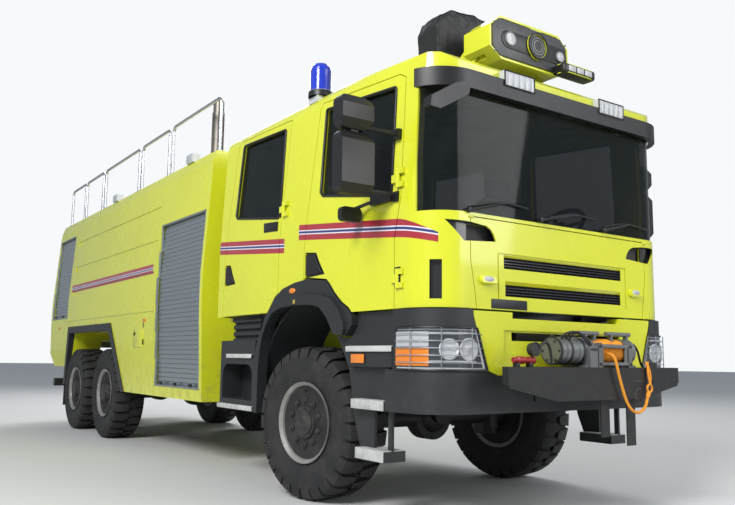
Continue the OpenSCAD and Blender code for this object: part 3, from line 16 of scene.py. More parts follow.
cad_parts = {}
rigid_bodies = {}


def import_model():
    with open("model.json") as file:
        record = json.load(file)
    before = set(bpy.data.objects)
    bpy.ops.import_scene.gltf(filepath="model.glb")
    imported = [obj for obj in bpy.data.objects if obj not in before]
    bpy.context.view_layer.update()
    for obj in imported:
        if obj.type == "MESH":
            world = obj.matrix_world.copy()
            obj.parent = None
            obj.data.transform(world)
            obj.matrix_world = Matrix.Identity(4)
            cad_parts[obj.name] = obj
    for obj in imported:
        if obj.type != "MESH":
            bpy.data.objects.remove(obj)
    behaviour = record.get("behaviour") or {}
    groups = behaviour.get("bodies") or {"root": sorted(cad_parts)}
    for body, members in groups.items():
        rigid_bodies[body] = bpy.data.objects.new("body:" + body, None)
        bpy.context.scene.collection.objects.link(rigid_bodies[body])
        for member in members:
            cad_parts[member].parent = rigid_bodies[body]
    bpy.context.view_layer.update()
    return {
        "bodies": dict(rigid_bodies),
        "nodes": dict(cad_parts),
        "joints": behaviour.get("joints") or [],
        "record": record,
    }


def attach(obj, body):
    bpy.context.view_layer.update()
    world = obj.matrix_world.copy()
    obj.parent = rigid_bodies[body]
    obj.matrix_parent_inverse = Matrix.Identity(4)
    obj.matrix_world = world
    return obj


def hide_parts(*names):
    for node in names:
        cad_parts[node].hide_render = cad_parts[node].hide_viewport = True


LOG = logging.getLogger("fire_truck")

Flat = Tuple[float, float]
Point = Tuple[float, float, float]
Outline = Sequence[Flat]
Colour = Tuple[float, float, float]

# Lengths along Y are given from the front axle; the row's origin is this far from it
AXLE_Y = -3.2
SIDES = (1.0, -1.0)
SIDE_NAMES = {1.0: "left", -1.0: "right"}

# Main sizes of the frame, in metres; the cab ends CAB_FRONT before and CAB_REAR behind the front axle
CAB_HALF = 1.215
CAB_FRONT = 1.6
CAB_REAR = 1.6
CORNER_R = 0.28
CORNER_MID = (CAB_HALF - CORNER_R, CORNER_R - CAB_FRONT)
BELT_Z = 2.1
ROOF_EDGE_Z = 3.195 - 0.15
SIDE_SLOPE = 0.045 / (ROOF_EDGE_Z - BELT_Z)
STEP_OUT = CAB_HALF + 0.025
TRAY_Z = 1.024

# Directions of turned parts, and lengths taken as nothing
ACROSS = (1.0, 0.0, 0.0)
AHEAD = (0.0, -1.0, 0.0)
UP = (0.0, 0.0, 1.0)
TINY = 1e-6
MERGE = 1e-5


def place(x: float, y: float, z: float) -> Vector:
    """Turns a point given from the front axle into the row's frame."""
    return Vector((x, y + AXLE_Y, z))


# Takes what place() gave back to the origin
FROM_AXLE = Matrix.Translation((0.0, -AXLE_Y, 0.0))


def arc(centre: Flat, radius: float, start: float, end: float, steps: int) -> List[Flat]:
    """Points of an arc in a plane, angles in degrees."""
    turn = [math.radians(start + (end - start) * i / steps) for i in range(steps + 1)]
    return [(centre[0] + radius * math.cos(t), centre[1] + radius * math.sin(t)) for t in turn]


def ring(count: int, radius: float, shift: float = 0.0) -> List[Flat]:
    """Points evenly spaced round a circle, turned by a share of their spacing."""
    turn = [2 * math.pi * (k + shift) / count for k in range(count)]
    return [(radius * math.cos(t), radius * math.sin(t)) for t in turn]


def shade(colour: Colour, factor: float) -> Colour:
    """The colour, darker where the factor is under 1."""
    return tuple(c * factor for c in colour)


def link(made: bpy.types.Object) -> bpy.types.Object:
    """Puts an object into the scene."""
    bpy.context.scene.collection.objects.link(made)
    return made


class Axis(Enum):
    """Main directions, as the plane in which an outline is drawn."""

    X = "x"
    Y = "y"
    Z = "z"

    def point(self, a: float, b: float, along: float) -> Vector:
        """Point of an outline (a, b) at a distance along this axis, from the front axle.

        Args:
            a: first outline coordinate (Y for X, X for Y and Z).
            b: second outline coordinate (Z for X and Y, Y for Z).
            along: distance along the axis.

        Returns:
            The point in the row's frame.
        """
        if self is Axis.X:
            return place(along, a, b)
        if self is Axis.Y:
            return place(a, along, b)
        return place(a, b, along)

    @property
    def unit(self) -> Vector:
        """Unit vector along the axis."""
        return Vector(((1, 0, 0), (0, 1, 0), (0, 0, 1))["xyz".index(self.value)])


# Shader maths


class Value:
    """A number in a node tree, on which Python's arithmetic works."""

    def __init__(self, shader: "Shader", socket: Any) -> None:
        """Wraps an output socket."""
        self.shader = shader
        self.socket = socket

    def math(self, operation: str, *others: Any) -> "Value":
        """Adds one Math node on this value.

        Args:
            operation: Blender's name of the operation.
            others: the further operands, values or numbers.

        Returns:
            The result.
        """
        return self.shader.node("ShaderNodeMath", {"operation": operation}, [self, *others])

    def __add__(self, other: Any) -> "Value":
        """Sum."""
        return self.math("ADD", other)

    def __radd__(self, other: Any) -> "Value":
        """Sum with a number in front."""
        return self.math("ADD", other)

    def __sub__(self, other: Any) -> "Value":
        """Difference."""
        return self.math("SUBTRACT", other)

    def __rsub__(self, other: Any) -> "Value":
        """Difference from a number."""
        return self.shader.node("ShaderNodeMath", {"operation": "SUBTRACT"}, [other, self])

    def __mul__(self, other: Any) -> "Value":
        """Product."""
        return self.math("MULTIPLY", other)

    def __rmul__(self, other: Any) -> "Value":
        """Product with a number in front."""
        return self.math("MULTIPLY", other)

    def __truediv__(self, other: Any) -> "Value":
        """Quotient."""
        return self.math("DIVIDE", other)

    def __abs__(self) -> "Value":
        """Size without sign."""
        return self.math("ABSOLUTE")

    def above(self, limit: Any) -> "Value":
        """1 where this is more than limit."""
        return self.math("GREATER_THAN", limit)

    def below(self, limit: Any) -> "Value":
        """1 where this is less than limit."""
        return self.math("LESS_THAN", limit)

    def between(self, low: Any, high: Any) -> "Value":
        """1 between two limits."""
        return self.above(low) * self.below(high)

    def ramp(self, low: float, high: float) -> "Value":
        """Rises from 0 at low to 1 at high, smoothly.

        Args:
            low: where the result is 0.
            high: where the result is 1; it may be less than low.

        Returns:
            The clamped, smoothed result.
        """
        return self.shader.node("ShaderNodeMapRange", {"interpolation_type": "SMOOTHSTEP"},
                                {"Value": self, "From Min": low, "From Max": high})


class Shader:
    """One material's node tree, built from the surface inwards."""

    def __init__(self, name: str) -> None:
        """Starts an empty material of that name.

        Args:
            name: its name.
        """
        self.material = bpy.data.materials.new(name)
        self.material.use_nodes = True
        self.tree = self.material.node_tree
        self.tree.nodes.clear()
        self._split: Optional[List[Value]] = None
        self._coords: Optional[Value] = None

    def node(self, kind: str, settings: Optional[Dict[str, Any]] = None,
             inputs: Union[Dict[Any, Any], Sequence[Any], None] = None, output: Union[int, str] = 0) -> Value:
        """Adds a node.

        Args:
            kind: Blender's node type.
            settings: attributes set before the sockets.
            inputs: values or links of the sockets, by name or number, or in order.
            output: the output wanted.

        Returns:
            The wrapped output socket.
        """
        made = self.tree.nodes.new(kind)
        for key, value in (settings or {}).items():
            setattr(made, key, value)
        pairs = inputs.items() if isinstance(inputs, dict) else enumerate(inputs or [])
        for key, value in pairs:
            if isinstance(value, Value):
                self.tree.links.new(value.socket, made.inputs[key])
            elif value is not None:
                made.inputs[key].default_value = value
        return Value(self, made.outputs[output])

    @property
    def coords(self) -> Value:
        """The piece's own coordinates.

        Returns:
            The coordinates, made when first asked for.
        """
        if self._coords is None:
            self._coords = self.node("ShaderNodeTexCoord", output="Object")
        return self._coords

    def axis(self, axis: Axis) -> Value:
        """One coordinate, with Y given from the front axle.

        Args:
            axis: the one that is wanted.

        Returns:
            The coordinate in metres.
        """
        if self._split is None:
            first = self.node("ShaderNodeSeparateXYZ", inputs=[self.coords])
            outs = first.socket.node.outputs
            self._split = [Value(self, outs[0]), Value(self, outs[1]) - AXLE_Y, Value(self, outs[2])]
        return self._split["xyz".index(axis.value)]

    def scaled(self, factors: Point) -> Value:
        """Coordinates stretched along each axis."""
        return self.node("ShaderNodeMapping", inputs={"Vector": self.coords, "Scale": factors})

    def noise(self, scale: float, detail: float = 3.0, roughness: float = 0.5,
              coords: Optional[Value] = None) -> Value:
        """Soft noise from 0 to 1.

        Args:
            scale: waves in a metre.
            detail: number of finer layers.
            roughness: weight of the finer layers.
            coords: coordinates to use in place of the piece's own.

        Returns:
            The noise value.
        """
        return self.node("ShaderNodeTexNoise", None, {"Vector": coords or self.coords, "Scale": scale,
                                                      "Detail": detail, "Roughness": roughness})

    def wave(self, direction: str, coords: Value, scale: float, distortion: float = 0.0) -> Value:
        """Soft bands from 0 to 1.

        Args:
            direction: Blender's name of the way they follow each other.
            coords: coordinates to use.
            scale: how close they are.
            distortion: how uneven they are.

        Returns:
            The bands' value.
        """
        return self.node("ShaderNodeTexWave", {"bands_direction": direction},
                         {"Vector": coords, "Scale": scale, "Distortion": distortion}, "Fac")

    def dust(self, clean_z: float, full_z: float, scale: float, least: float, share: float) -> Value:
        """Mask of patchy road dust, which thins out upwards.

        Args:
            clean_z: height above which there is none.
            full_z: height below which it is full.
            scale: patches in a metre.
            least: noise value at which a patch starts.
            share: greatest value of the mask.

        Returns:
            The mask.
        """
        return self.axis(Axis.Z).ramp(clean_z, full_z) * self.noise(scale, 6.0, 0.7).ramp(least, 0.75) * share

    def mix(self, factor: Any, low: Any, high: Any) -> Value:
        """Colour between low and high.

        Args:
            factor: share of high, a value or a number.
            low: colour at factor 0.
            high: colour at factor 1.

        Returns:
            The mixed colour.
        """
        inputs = {0: factor, 6: self._padded(low), 7: self._padded(high)}
        return self.node("ShaderNodeMix", {"data_type": "RGBA"}, inputs, 2)

    def bump(self, height: Value, strength: float, distance: float) -> Value:
        """Normal from a height."""
        return self.node("ShaderNodeBump", None,
                         {"Height": height, "Strength": strength, "Distance": distance})

    def surface(self, **sockets: Any) -> bpy.types.Material:
        """Ends the material with a Principled surface.

        Args:
            sockets: values of its sockets, with _ for a space in their names.

        Returns:
            The finished material.
        """
        inputs = {key.replace("_", " "): self._padded(value) for key, value in sockets.items()}
        made = self.node("ShaderNodeBsdfPrincipled", None, inputs)
        out = self.tree.nodes.new("ShaderNodeOutputMaterial")
        self.tree.links.new(made.socket, out.inputs["Surface"])
        return self.material

    @staticmethod
    def _padded(value: Any) -> Any:
        """A colour of three numbers gets its fourth."""
        return (*value, 1.0) if isinstance(value, tuple) and len(value) == 3 else value


# Finishes

YELLOW: Colour = (0.66, 0.69, 0.022)
SIGNAL_RED: Colour = (0.36, 0.022, 0.035)
STRIPE_BLUE: Colour = (0.03, 0.032, 0.16)
STRIPE_WHITE: Colour = (0.72, 0.7, 0.74)
ROAD_DUST: Colour = (0.17, 0.15, 0.12)
BLACK: Colour = (0.012, 0.012, 0.013)


@dataclass(frozen=True)
class Stripe:
    """A band of red, white, blue, white and red on the truck's sides.

    Its top edge stands at top beside the front axle and rises by slope towards the rear. Ahead of
    droop_from it bends down.
    """

    front: float
    rear: float
    top: float
    slope: float
    height: float
    droop_from: float = -9.0
    droop: float = 0.0
    flat_x: float = 0.95
    white: Flat = (0.36, 0.64)
    blue: Flat = (0.43, 0.57)

    def masks(self, shader: Shader) -> Tuple[Value, Value, Value]:
        """Masks of the whole band, its white lines and its blue line.

        Args:
            shader: the material that gets the stripe.

        Returns:
            Three masks, 1 inside and 0 outside.
        """
        y, z = shader.axis(Axis.Y), shader.axis(Axis.Z)
        ahead = (self.droop_from - y).math("MAXIMUM", 0.0)
        line = self.top + y * self.slope - ahead * ahead * (self.droop * 0.3)
        depth = (line - z) / self.height
        cut = (line - ahead * ahead * (self.droop * 0.7)) - z
        side = abs(shader.axis(Axis.X)).above(self.flat_x)
        band = cut.above(0.0) * depth.below(1.0) * y.between(self.front, self.rear) * side
        return band, depth.between(*self.white) * band, depth.between(*self.blue) * band


STRIPES = (
    Stripe(front=-1.53, rear=0.085, top=2.112, slope=0.104, height=0.124, droop_from=-1.2, droop=0.8),
    Stripe(front=0.322, rear=1.65, top=2.009, slope=0.092, height=0.122),
    Stripe(front=3.4, rear=7.01, top=2.113, slope=0.0, height=0.11),
)


@dataclass(frozen=True)
class Livery:
    """Glossy yellow paint with the side stripes, dusty towards the ground."""

    name: str = "yellow_livery"
    colour: Colour = YELLOW
    stripes: Tuple[Stripe, ...] = STRIPES

    # Depth, x and z ranges of the recesses in the cab's front
    floor_depth: float = 0.012
    intake_depth: float = 0.047
    intake_x: Flat = (0.66, 1.12)
    intake_z: Flat = (1.8, 1.97)
    vane_x: float = 1.0
    vane_z: Flat = (1.42, 1.71)
    slot_depths: Flat = (0.0045, 0.08)
    slot_half: float = 0.618
    slot_rows: Tuple[Flat, Flat] = ((1.478, 1.56), (1.662, 1.743))

    def recess(self, s: Shader) -> Value:
        """Mask of the black floors of the corner intakes and vane slots, and of the front panel's slots.

        Args:
            s: the material that gets them.

        Returns:
            The mask, 1 on those floors and 0 elsewhere.
        """
        x, y, z = abs(s.axis(Axis.X)), s.axis(Axis.Y), s.axis(Axis.Z)
        aside = (x - CORNER_MID[0]).math("MAXIMUM", 0.0)
        ahead = (CORNER_MID[1] - y).math("MAXIMUM", 0.0)
        reach = (aside * aside + ahead * ahead).math("SQRT")
        sunk = reach.below(CORNER_R - self.floor_depth)
        intake = sunk * reach.above(CORNER_R - self.intake_depth) * ahead.above(0.05)
        intake = intake * x.between(*self.intake_x) * z.between(*self.intake_z)
        vane = sunk * ahead.above(0.1) * x.above(self.vane_x) * z.between(*self.vane_z)
        panel = y.between(*(depth - CAB_FRONT for depth in self.slot_depths)) * x.below(self.slot_half)
        low_row, high_row = (z.between(*row) for row in self.slot_rows)
        return (intake + vane + panel * (low_row + high_row)).math("MINIMUM", 1.0)

    def build(self) -> bpy.types.Material:
        """Makes the material.

        Returns:
            The material.
        """
        s = Shader(self.name)
        fade = s.noise(0.9, 4.0)
        colour = s.mix(fade.ramp(0.35, 0.75), self.colour, shade(self.colour, 0.94))
        for stripe in self.stripes:
            band, white, blue = stripe.masks(s)
            colour = s.mix(band, colour, SIGNAL_RED)
            colour = s.mix(white, colour, STRIPE_WHITE)
            colour = s.mix(blue, colour, STRIPE_BLUE)
        colour = s.mix(self.recess(s), colour, BLACK)
        dust = s.dust(1.3, 0.6, 9.0, 0.42, 0.5)
        colour = s.mix(dust, colour, ROAD_DUST)
        rough = 0.24 + dust * 0.5 + s.noise(3.0, 4.0) * 0.08
        return s.surface(Base_Color=colour, Roughness=rough, Coat_Weight=0.6 - dust, Coat_Roughness=0.06,
                         Normal=s.bump(s.noise(260.0, 2.0), 0.02, 0.001))


@dataclass(frozen=True)
class Plain:
    """A painted, moulded or metal surface of one colour, with grain, wear and road dust."""

    name: str
    colour: Colour
    roughness: float = 0.5
    metallic: float = 0.0
    grain: float = 300.0
    grain_depth: float = 0.0004
    mottle: float = 0.1
    dust: float = 0.25
    dust_top: float = 1.2
    stretch: Point = (1.0, 1.0, 1.0)

    def build(self) -> bpy.types.Material:
        """Makes the material.

        Returns:
            The material.
        """
        s = Shader(self.name)
        grain = s.noise(self.grain, 2.0, 0.5, s.scaled(self.stretch))
        patch = s.noise(5.0, 5.0, 0.6)
        colour = s.mix(patch.ramp(0.3, 0.7) * self.mottle, self.colour, shade(self.colour, 0.4))
        dust = s.dust(self.dust_top + 0.4, 0.2, 14.0, 0.4, self.dust)
        colour = s.mix(dust, colour, ROAD_DUST)
        rough = self.roughness + (patch - 0.5) * 0.15 + dust * 0.4
        return s.surface(Base_Color=colour, Roughness=rough, Metallic=self.metallic,
                         Normal=s.bump(grain, 0.35, self.grain_depth))


@dataclass(frozen=True)
class Lens:
    """Clear or tinted lens and glass."""

    name: str
    colour: Colour
    alpha: float = 1.0
    roughness: float = 0.05
    glow: float = 0.0
    ribs: float = 0.0
    gloss: float = 0.5

    def build(self) -> bpy.types.Material:
        """Makes the material.

        Returns:
            The material.
        """
        s = Shader(self.name)
        film = s.noise(2.5, 4.0, 0.6)
        colour = s.mix(film * 0.25, self.colour, tuple(min(1.0, c * 1.6 + 0.01) for c in self.colour))
        rough = self.roughness + film * 0.04
        extra: Dict[str, Any] = {}
        if self.ribs:
            extra["Normal"] = s.bump(s.wave("DIAGONAL", s.coords, self.ribs), 0.4, 0.002)
        if self.glow:
            extra["Emission_Color"] = self.colour
            extra["Emission_Strength"] = self.glow
        return s.surface(Base_Color=colour, Roughness=rough, Alpha=self.alpha, Coat_Weight=self.gloss,
                         Specular_IOR_Level=self.gloss, Coat_Roughness=0.02, **extra)


@dataclass(frozen=True)
class Rubber:
    """Tyre rubber, grey with dust on its tread and lower wall."""

    name: str = "tyre_rubber"
    colour: Colour = (0.013, 0.013, 0.0135)

    def build(self) -> bpy.types.Material:
        """Makes the material.

        Returns:
            The material.
        """
        s = Shader(self.name)
        fine, patch = s.noise(420.0, 3.0), s.noise(7.0, 5.0, 0.65)
        dust = patch.ramp(0.4, 0.72) * 0.35
        colour = s.mix(dust, self.colour, (0.065, 0.06, 0.052))
        return s.surface(Base_Color=colour, Roughness=0.72 + dust * 0.3, Normal=s.bump(fine, 0.4, 0.0006))


@dataclass(frozen=True)
class Weave:
    """Woven or coated cloth."""

    name: str
    colour: Colour
    light: Colour
    threads: float = 900.0
    roughness: float = 0.8
    depth: float = 0.0005

    def build(self) -> bpy.types.Material:
        """Makes the material.

        Returns:
            The material.
        """
        s = Shader(self.name)
        across, along, upward = (s.wave(way, s.coords, self.threads / 20, 0.3) for way in "XYZ")
        weave = across * along + upward * (1 - across)
        colour = s.mix(weave * 0.5 + s.noise(12.0, 4.0) * 0.3, self.colour, self.light)
        return s.surface(Base_Color=colour, Roughness=self.roughness + weave * 0.1,
                         Normal=s.bump(weave, 0.5, self.depth))


@dataclass(frozen=True)
class Braid:
    """Braided rope, its strands crossing at an angle."""

    name: str
    colour: Colour
    light: Colour

    def build(self) -> bpy.types.Material:
        """Makes the material.

        Returns:
            The material.
        """
        s = Shader(self.name)
        left, right = (s.wave("DIAGONAL", s.scaled((1.0, 1.0, lay)), 55.0, 0.4) for lay in (1.0, -1.0))
        braid = left.math("MAXIMUM", right)
        colour = s.mix(braid, self.colour, self.light)
        return s.surface(Base_Color=colour, Roughness=0.75, Normal=s.bump(braid, 0.7, 0.0012))


class Finish(Enum):
    """Every finish of the truck."""

    LIVERY = Livery()
    RUBBER = Rubber()
    MOULDED = Plain("moulded_grey", (0.018, 0.020, 0.022), 0.5, grain=380.0, grain_depth=0.0006, dust=0.12)
    SATIN_BLACK = Plain("satin_black", (0.008, 0.008, 0.009), 0.42, grain=240.0, mottle=0.05, dust=0.1)
    STEP_WHITE = Plain("step_white", (0.55, 0.56, 0.54), 0.5, grain=60.0, mottle=0.3, dust=0.5)
    CHASSIS_BLACK = Plain("chassis_black", (0.008, 0.008, 0.0085), 0.5, grain=90.0, dust=0.14)
    CAST_STEEL = Plain("cast_steel", (0.05, 0.05, 0.052), 0.55, 0.6, grain=120.0, grain_depth=0.001, dust=0.5)
    GREY_PAINT = Plain("grey_paint", (0.2, 0.205, 0.21), 0.45, grain=150.0, dust=0.3)
    WINCH_GREY = Plain("winch_grey", (0.19, 0.2, 0.2), 0.38, 0.5, grain=200.0, mottle=0.35, dust=0.2)
    POLISHED = Plain("polished_tube", (0.62, 0.63, 0.65), 0.22, 1.0, grain=160.0, grain_depth=0.0001,
                     dust=0.05)
    PIPE = Plain("exhaust_pipe", (0.24, 0.215, 0.19), 0.45, 0.8, grain=70.0, mottle=0.6, dust=0.1)
    SHUTTER = Plain("shutter_aluminium", (0.33, 0.335, 0.36), 0.4, 0.35, grain=60.0, grain_depth=0.0002,
                    mottle=0.12, dust=0.2, stretch=(1.0, 0.05, 8.0))
    SILVER_RIM = Plain("silver_rim", (0.33, 0.325, 0.31), 0.42, 0.35, grain=90.0, mottle=0.4, dust=0.6,
                       dust_top=2.0)
    GLASS = Lens("tinted_glass", (0.006, 0.009, 0.011), alpha=0.62, roughness=0.02, gloss=0.12)
    CLEAR_LENS = Lens("clear_lens", (0.5, 0.52, 0.53), roughness=0.08, ribs=60.0)
    AMBER_LENS = Lens("amber_lens", (0.75, 0.2, 0.01), roughness=0.12, ribs=90.0)
    BLUE_LENS = Lens("blue_lens", (0.01, 0.03, 0.42), roughness=0.08, ribs=40.0, glow=0.05)
    SEAT_CLOTH = Weave("seat_cloth", (0.03, 0.03, 0.034), (0.09, 0.09, 0.1))
    COVER_CLOTH = Weave("cover_cloth", (0.008, 0.008, 0.009), (0.02, 0.02, 0.022), 500.0, 0.5)
    DASH = Plain("dash_plastic", (0.03, 0.03, 0.032), 0.6, grain=500.0)
    YELLOW_LENS = Plain("yellow_lens", (0.5, 0.36, 0.05), 0.3, grain=60.0)
    REFLECTOR = Lens("lamp_reflector", (0.42, 0.43, 0.45), roughness=0.06, ribs=70.0)
    LAMP_BOWL = Lens("lamp_bowl", (0.05, 0.055, 0.06), roughness=0.05, ribs=30.0)
    MIRROR = Plain("mirror_glass", (0.7, 0.72, 0.74), 0.04, 1.0, grain=5.0, grain_depth=0.00001, dust=0.02)
    GREY_FACE = Plain("monitor_grey", (0.07, 0.072, 0.076), 0.45, 0.3, grain=120.0, mottle=0.5)
    RED_PAINT = Plain("red_coupling", (0.32, 0.012, 0.015), 0.35, grain=90.0)
    ROPE = Braid("orange_rope", (0.5, 0.15, 0.008), (0.85, 0.34, 0.02))

    def material(self) -> bpy.types.Material:
        """The finish's one material, made when first asked for."""
        return bpy.data.materials.get(self.value.name) or self.value.build()


SLOT_FINISH: Dict[str, Finish] = {
    "yellow_paint": Finish.LIVERY,
    "grey_plastic": Finish.MOULDED,
    "black_plastic": Finish.SATIN_BLACK,
    "dark_plastic": Finish.DASH,
    "black_steel": Finish.CHASSIS_BLACK,
    "dark_steel": Finish.CAST_STEEL,
    "grey_metal": Finish.GREY_PAINT,
    "winch_metal": Finish.WINCH_GREY,
    "bright_steel": Finish.POLISHED,
    "brushed_pipe": Finish.PIPE,
    "shutter_aluminium": Finish.SHUTTER,
    "rim_silver": Finish.SILVER_RIM,
    "tyre": Finish.RUBBER,
    "glass": Finish.GLASS,
    "lamp_plastic": Finish.CLEAR_LENS,
    "seat_cloth": Finish.SEAT_CLOTH,
    "black_cloth": Finish.COVER_CLOTH,
    "rope": Finish.ROPE,
}


# Mesh making


class Form:
    """A mesh in the making, to which bevelled solids are added."""

    def __init__(self) -> None:
        """Starts empty."""
        self.bm = bmesh.new()

    def take(self, part: bmesh.types.BMesh) -> "Form":
        """Moves a mesh into this form as it is.

        Args:
            part: the mesh, freed here.

        Returns:
            This form.
        """
        mesh = bpy.data.meshes.new("part")
        part.to_mesh(mesh)
        part.free()
        self.bm.from_mesh(mesh)
        bpy.data.meshes.remove(mesh)
        return self

    def add(self, part: bmesh.types.BMesh, bevel: float = 0.0, segments: int = 2,
            sharp: float = 30.0) -> "Form":
        """Bevels the edges of a part and adds it.

        Args:
            part: the solid, freed here.
            bevel: width of the bevel, 0 for none.
            segments: steps across the bevel.
            sharp: least angle of an edge that is bevelled, in degrees.

        Returns:
            This form.
        """
        if bevel > 0:
            edges = [e for e in part.edges
                     if len(e.link_faces) == 2 and e.calc_face_angle(0.0) > math.radians(sharp)]
            bmesh.ops.bevel(part, geom=edges, offset=bevel, offset_type="OFFSET", segments=segments,
                            profile=0.5, affect="EDGES", material=-1, clamp_overlap=True)
        bmesh.ops.recalc_face_normals(part, faces=part.faces)
        return self.take(part)

    def box(self, low: Point, high: Point, bevel: float = 0.0, segments: int = 2) -> "Form":
        """Adds a box between two corners, given from the front axle.

        Args:
            low: its lowest corner.
            high: its highest corner.
            bevel: width of the edges' bevel.
            segments: steps across the bevel.

        Returns:
            This form.
        """
        part = bmesh.new()
        a, b = place(*low), place(*high)
        size = Matrix.Diagonal((*(b - a), 1.0))
        bmesh.ops.create_cube(part, size=1.0, matrix=Matrix.Translation((a + b) / 2) @ size)
        return self.add(part, bevel, segments)

    def rod(self, start: Point, end: Point, radius: float, sides: int = 24, bevel: float = 0.0) -> "Form":
        """Adds a round or many-sided bar between two points, given from the front axle.

        Args:
            start: middle of its first end.
            end: middle of its second end.
            radius: its radius.
            sides: number of its sides.
            bevel: width of the rims' bevel.

        Returns:
            This form.
        """
        part = bmesh.new()
        a, b = place(*start), place(*end)
        turn = (b - a).to_track_quat("Z", "Y").to_matrix().to_4x4()
        bmesh.ops.create_cone(part, cap_ends=True, cap_tris=False, segments=sides, radius1=radius,
                              radius2=radius, depth=(b - a).length,
                              matrix=Matrix.Translation((a + b) / 2) @ turn)
        return self.add(part, bevel, sharp=50.0)

    def ball(self, centre: Point, radii: Point, rings: int) -> "Form":
        """Adds an egg by its centre, given from the front axle, and its three radii.

        Args:
            centre: its middle.
            radii: its radius along each axis.
            rings: number of its rings, half of its sides.

        Returns:
            This form.
        """
        part = bmesh.new()
        bmesh.ops.create_uvsphere(part, u_segments=2 * rings, v_segments=rings, radius=1.0,
                                  matrix=Matrix.Translation(place(*centre)) @ Matrix.Diagonal((*radii, 1.0)))
        return self.add(part)

    def prism(self, axis: Axis, outline: Outline, low: float, high: float, bevel: float,
              segments: int = 2) -> "Form":
        """Adds an outline run along an axis.

        Args:
            axis: the direction of the run.
            outline: points in the plane across it, given from the front axle.
            low: where the run starts.
            high: where it ends.
            bevel: width of the edges' bevel.
            segments: steps across the bevel.

        Returns:
            This form.
        """
        part = bmesh.new()
        face = part.faces.new([part.verts.new(axis.point(a, b, low)) for a, b in outline])
        out = bmesh.ops.extrude_face_region(part, geom=[face])
        moved = [v for v in out["geom"] if isinstance(v, bmesh.types.BMVert)]
        bmesh.ops.translate(part, verts=moved, vec=axis.unit * (high - low))
        bmesh.ops.recalc_face_normals(part, faces=part.faces)
        return self.add(part, bevel, segments)

    def lathe(self, centre: Point, direction: Point, profile: Outline, steps: int = 48) -> "Form":
        """Adds a solid turned about a line.

        Args:
            centre: a point of the line, given from the front axle.
            direction: the line's direction.
            profile: (distance along the line, radius) of each point, from one end to the other.
            steps: number of steps in the full turn.

        Returns:
            This form.
        """
        part = bmesh.new()
        line = Vector(direction).normalized()
        side = line.orthogonal().normalized()
        base = place(*centre)
        verts = [part.verts.new(base + line * along + side * radius) for along, radius in profile]
        edges = [part.edges.new(pair) for pair in zip(verts, verts[1:])]
        bmesh.ops.spin(part, geom=verts + edges, cent=base, axis=line, angle=2 * math.pi, steps=steps,
                       use_merge=True)
        bmesh.ops.remove_doubles(part, verts=part.verts, dist=MERGE)
        bmesh.ops.holes_fill(part, edges=[e for e in part.edges if e.is_boundary], sides=0)
        return self.add(part)

    def tube(self, points: Sequence[Point], radius: float, sides: int = 4, closed: bool = False,
             smooth: bool = True) -> "Form":
        """Adds a bent round bar through points, given from the front axle.

        Args:
            points: its middle line.
            radius: its radius.
            sides: a quarter of its section's sides, less one.
            closed: whether it is a ring.
            smooth: whether it bends smoothly through its points.

        Returns:
            This form.
        """
        curve = bpy.data.curves.new("bar", "CURVE")
        curve.dimensions = "3D"
        curve.bevel_depth = radius
        curve.bevel_resolution = sides
        curve.use_fill_caps = not closed
        curve.resolution_u = 8
        if smooth:
            spline = curve.splines.new("BEZIER")
            spline.bezier_points.add(len(points) - 1)
            for knot, point in zip(spline.bezier_points, points):
                knot.co = place(*point)
                knot.handle_left_type = knot.handle_right_type = "AUTO"
        else:
            spline = curve.splines.new("POLY")
            spline.points.add(len(points) - 1)
            for knot, point in zip(spline.points, points):
                knot.co = (*place(*point), 1.0)
        spline.use_cyclic_u = closed
        holder = link(bpy.data.objects.new("bar", curve))
        bpy.context.view_layer.update()
        mesh = bpy.data.meshes.new_from_object(holder.evaluated_get(bpy.context.evaluated_depsgraph_get()))
        part = bmesh.new()
        part.from_mesh(mesh)
        bmesh.ops.remove_doubles(part, verts=part.verts, dist=MERGE)
        bpy.data.objects.remove(holder)
        bpy.data.curves.remove(curve)
        bpy.data.meshes.remove(mesh)
        return self.add(part)

    def repeated(self, matrices: Iterable[Matrix]) -> "Form":
        """Replaces the form by copies of itself under each matrix.

        Args:
            matrices: where each copy goes.

        Returns:
            This form.
        """
        mesh = bpy.data.meshes.new("copy")
        self.bm.to_mesh(mesh)
        self.bm.clear()
        for matrix in matrices:
            copy = mesh.copy()
            copy.transform(matrix)
            if matrix.determinant() < 0:
                copy.flip_normals()
            self.bm.from_mesh(copy)
            bpy.data.meshes.remove(copy)
        bpy.data.meshes.remove(mesh)
        return self

    def both_sides(self) -> "Form":
        """Adds the mirror image across the truck's middle."""
        return self.repeated((Matrix.Identity(4), Matrix.Diagonal((-1.0, 1.0, 1.0, 1.0))))

    def on_side(self, side: float) -> "Form":
        """Mirrors the form to the truck's right where side is -1."""
        return self if side > 0 else self.repeated((Matrix.Diagonal((-1.0, 1.0, 1.0, 1.0)),))

    def piece(self, name: str, body: str, finish: Finish, smooth: float = 35.0,
              slot: Optional[str] = None) -> bpy.types.Object:
        """Ends the form as a piece that rides on a body.

        Args:
            name: the piece's name.
            body: the body it rides on.
            finish: its finish.
            smooth: greatest angle between faces shaded as one surface, in degrees.
            slot: not used; the record's material slot, where it has one.

        Returns:
            The piece.
        """
        mesh = bpy.data.meshes.new(name)
        for face in self.bm.faces:
            face.smooth = True
        for edge in self.bm.edges:
            edge.smooth = len(edge.link_faces) == 2 and edge.calc_face_angle(0.0) < math.radians(smooth)
        self.bm.to_mesh(mesh)
        self.bm.free()
        mesh.materials.append(finish.material())
        made = link(bpy.data.objects.new(name, mesh))
        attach(made, body)
        LOG.info("%s: %d faces", name, len(mesh.polygons))
        return made


# The studio


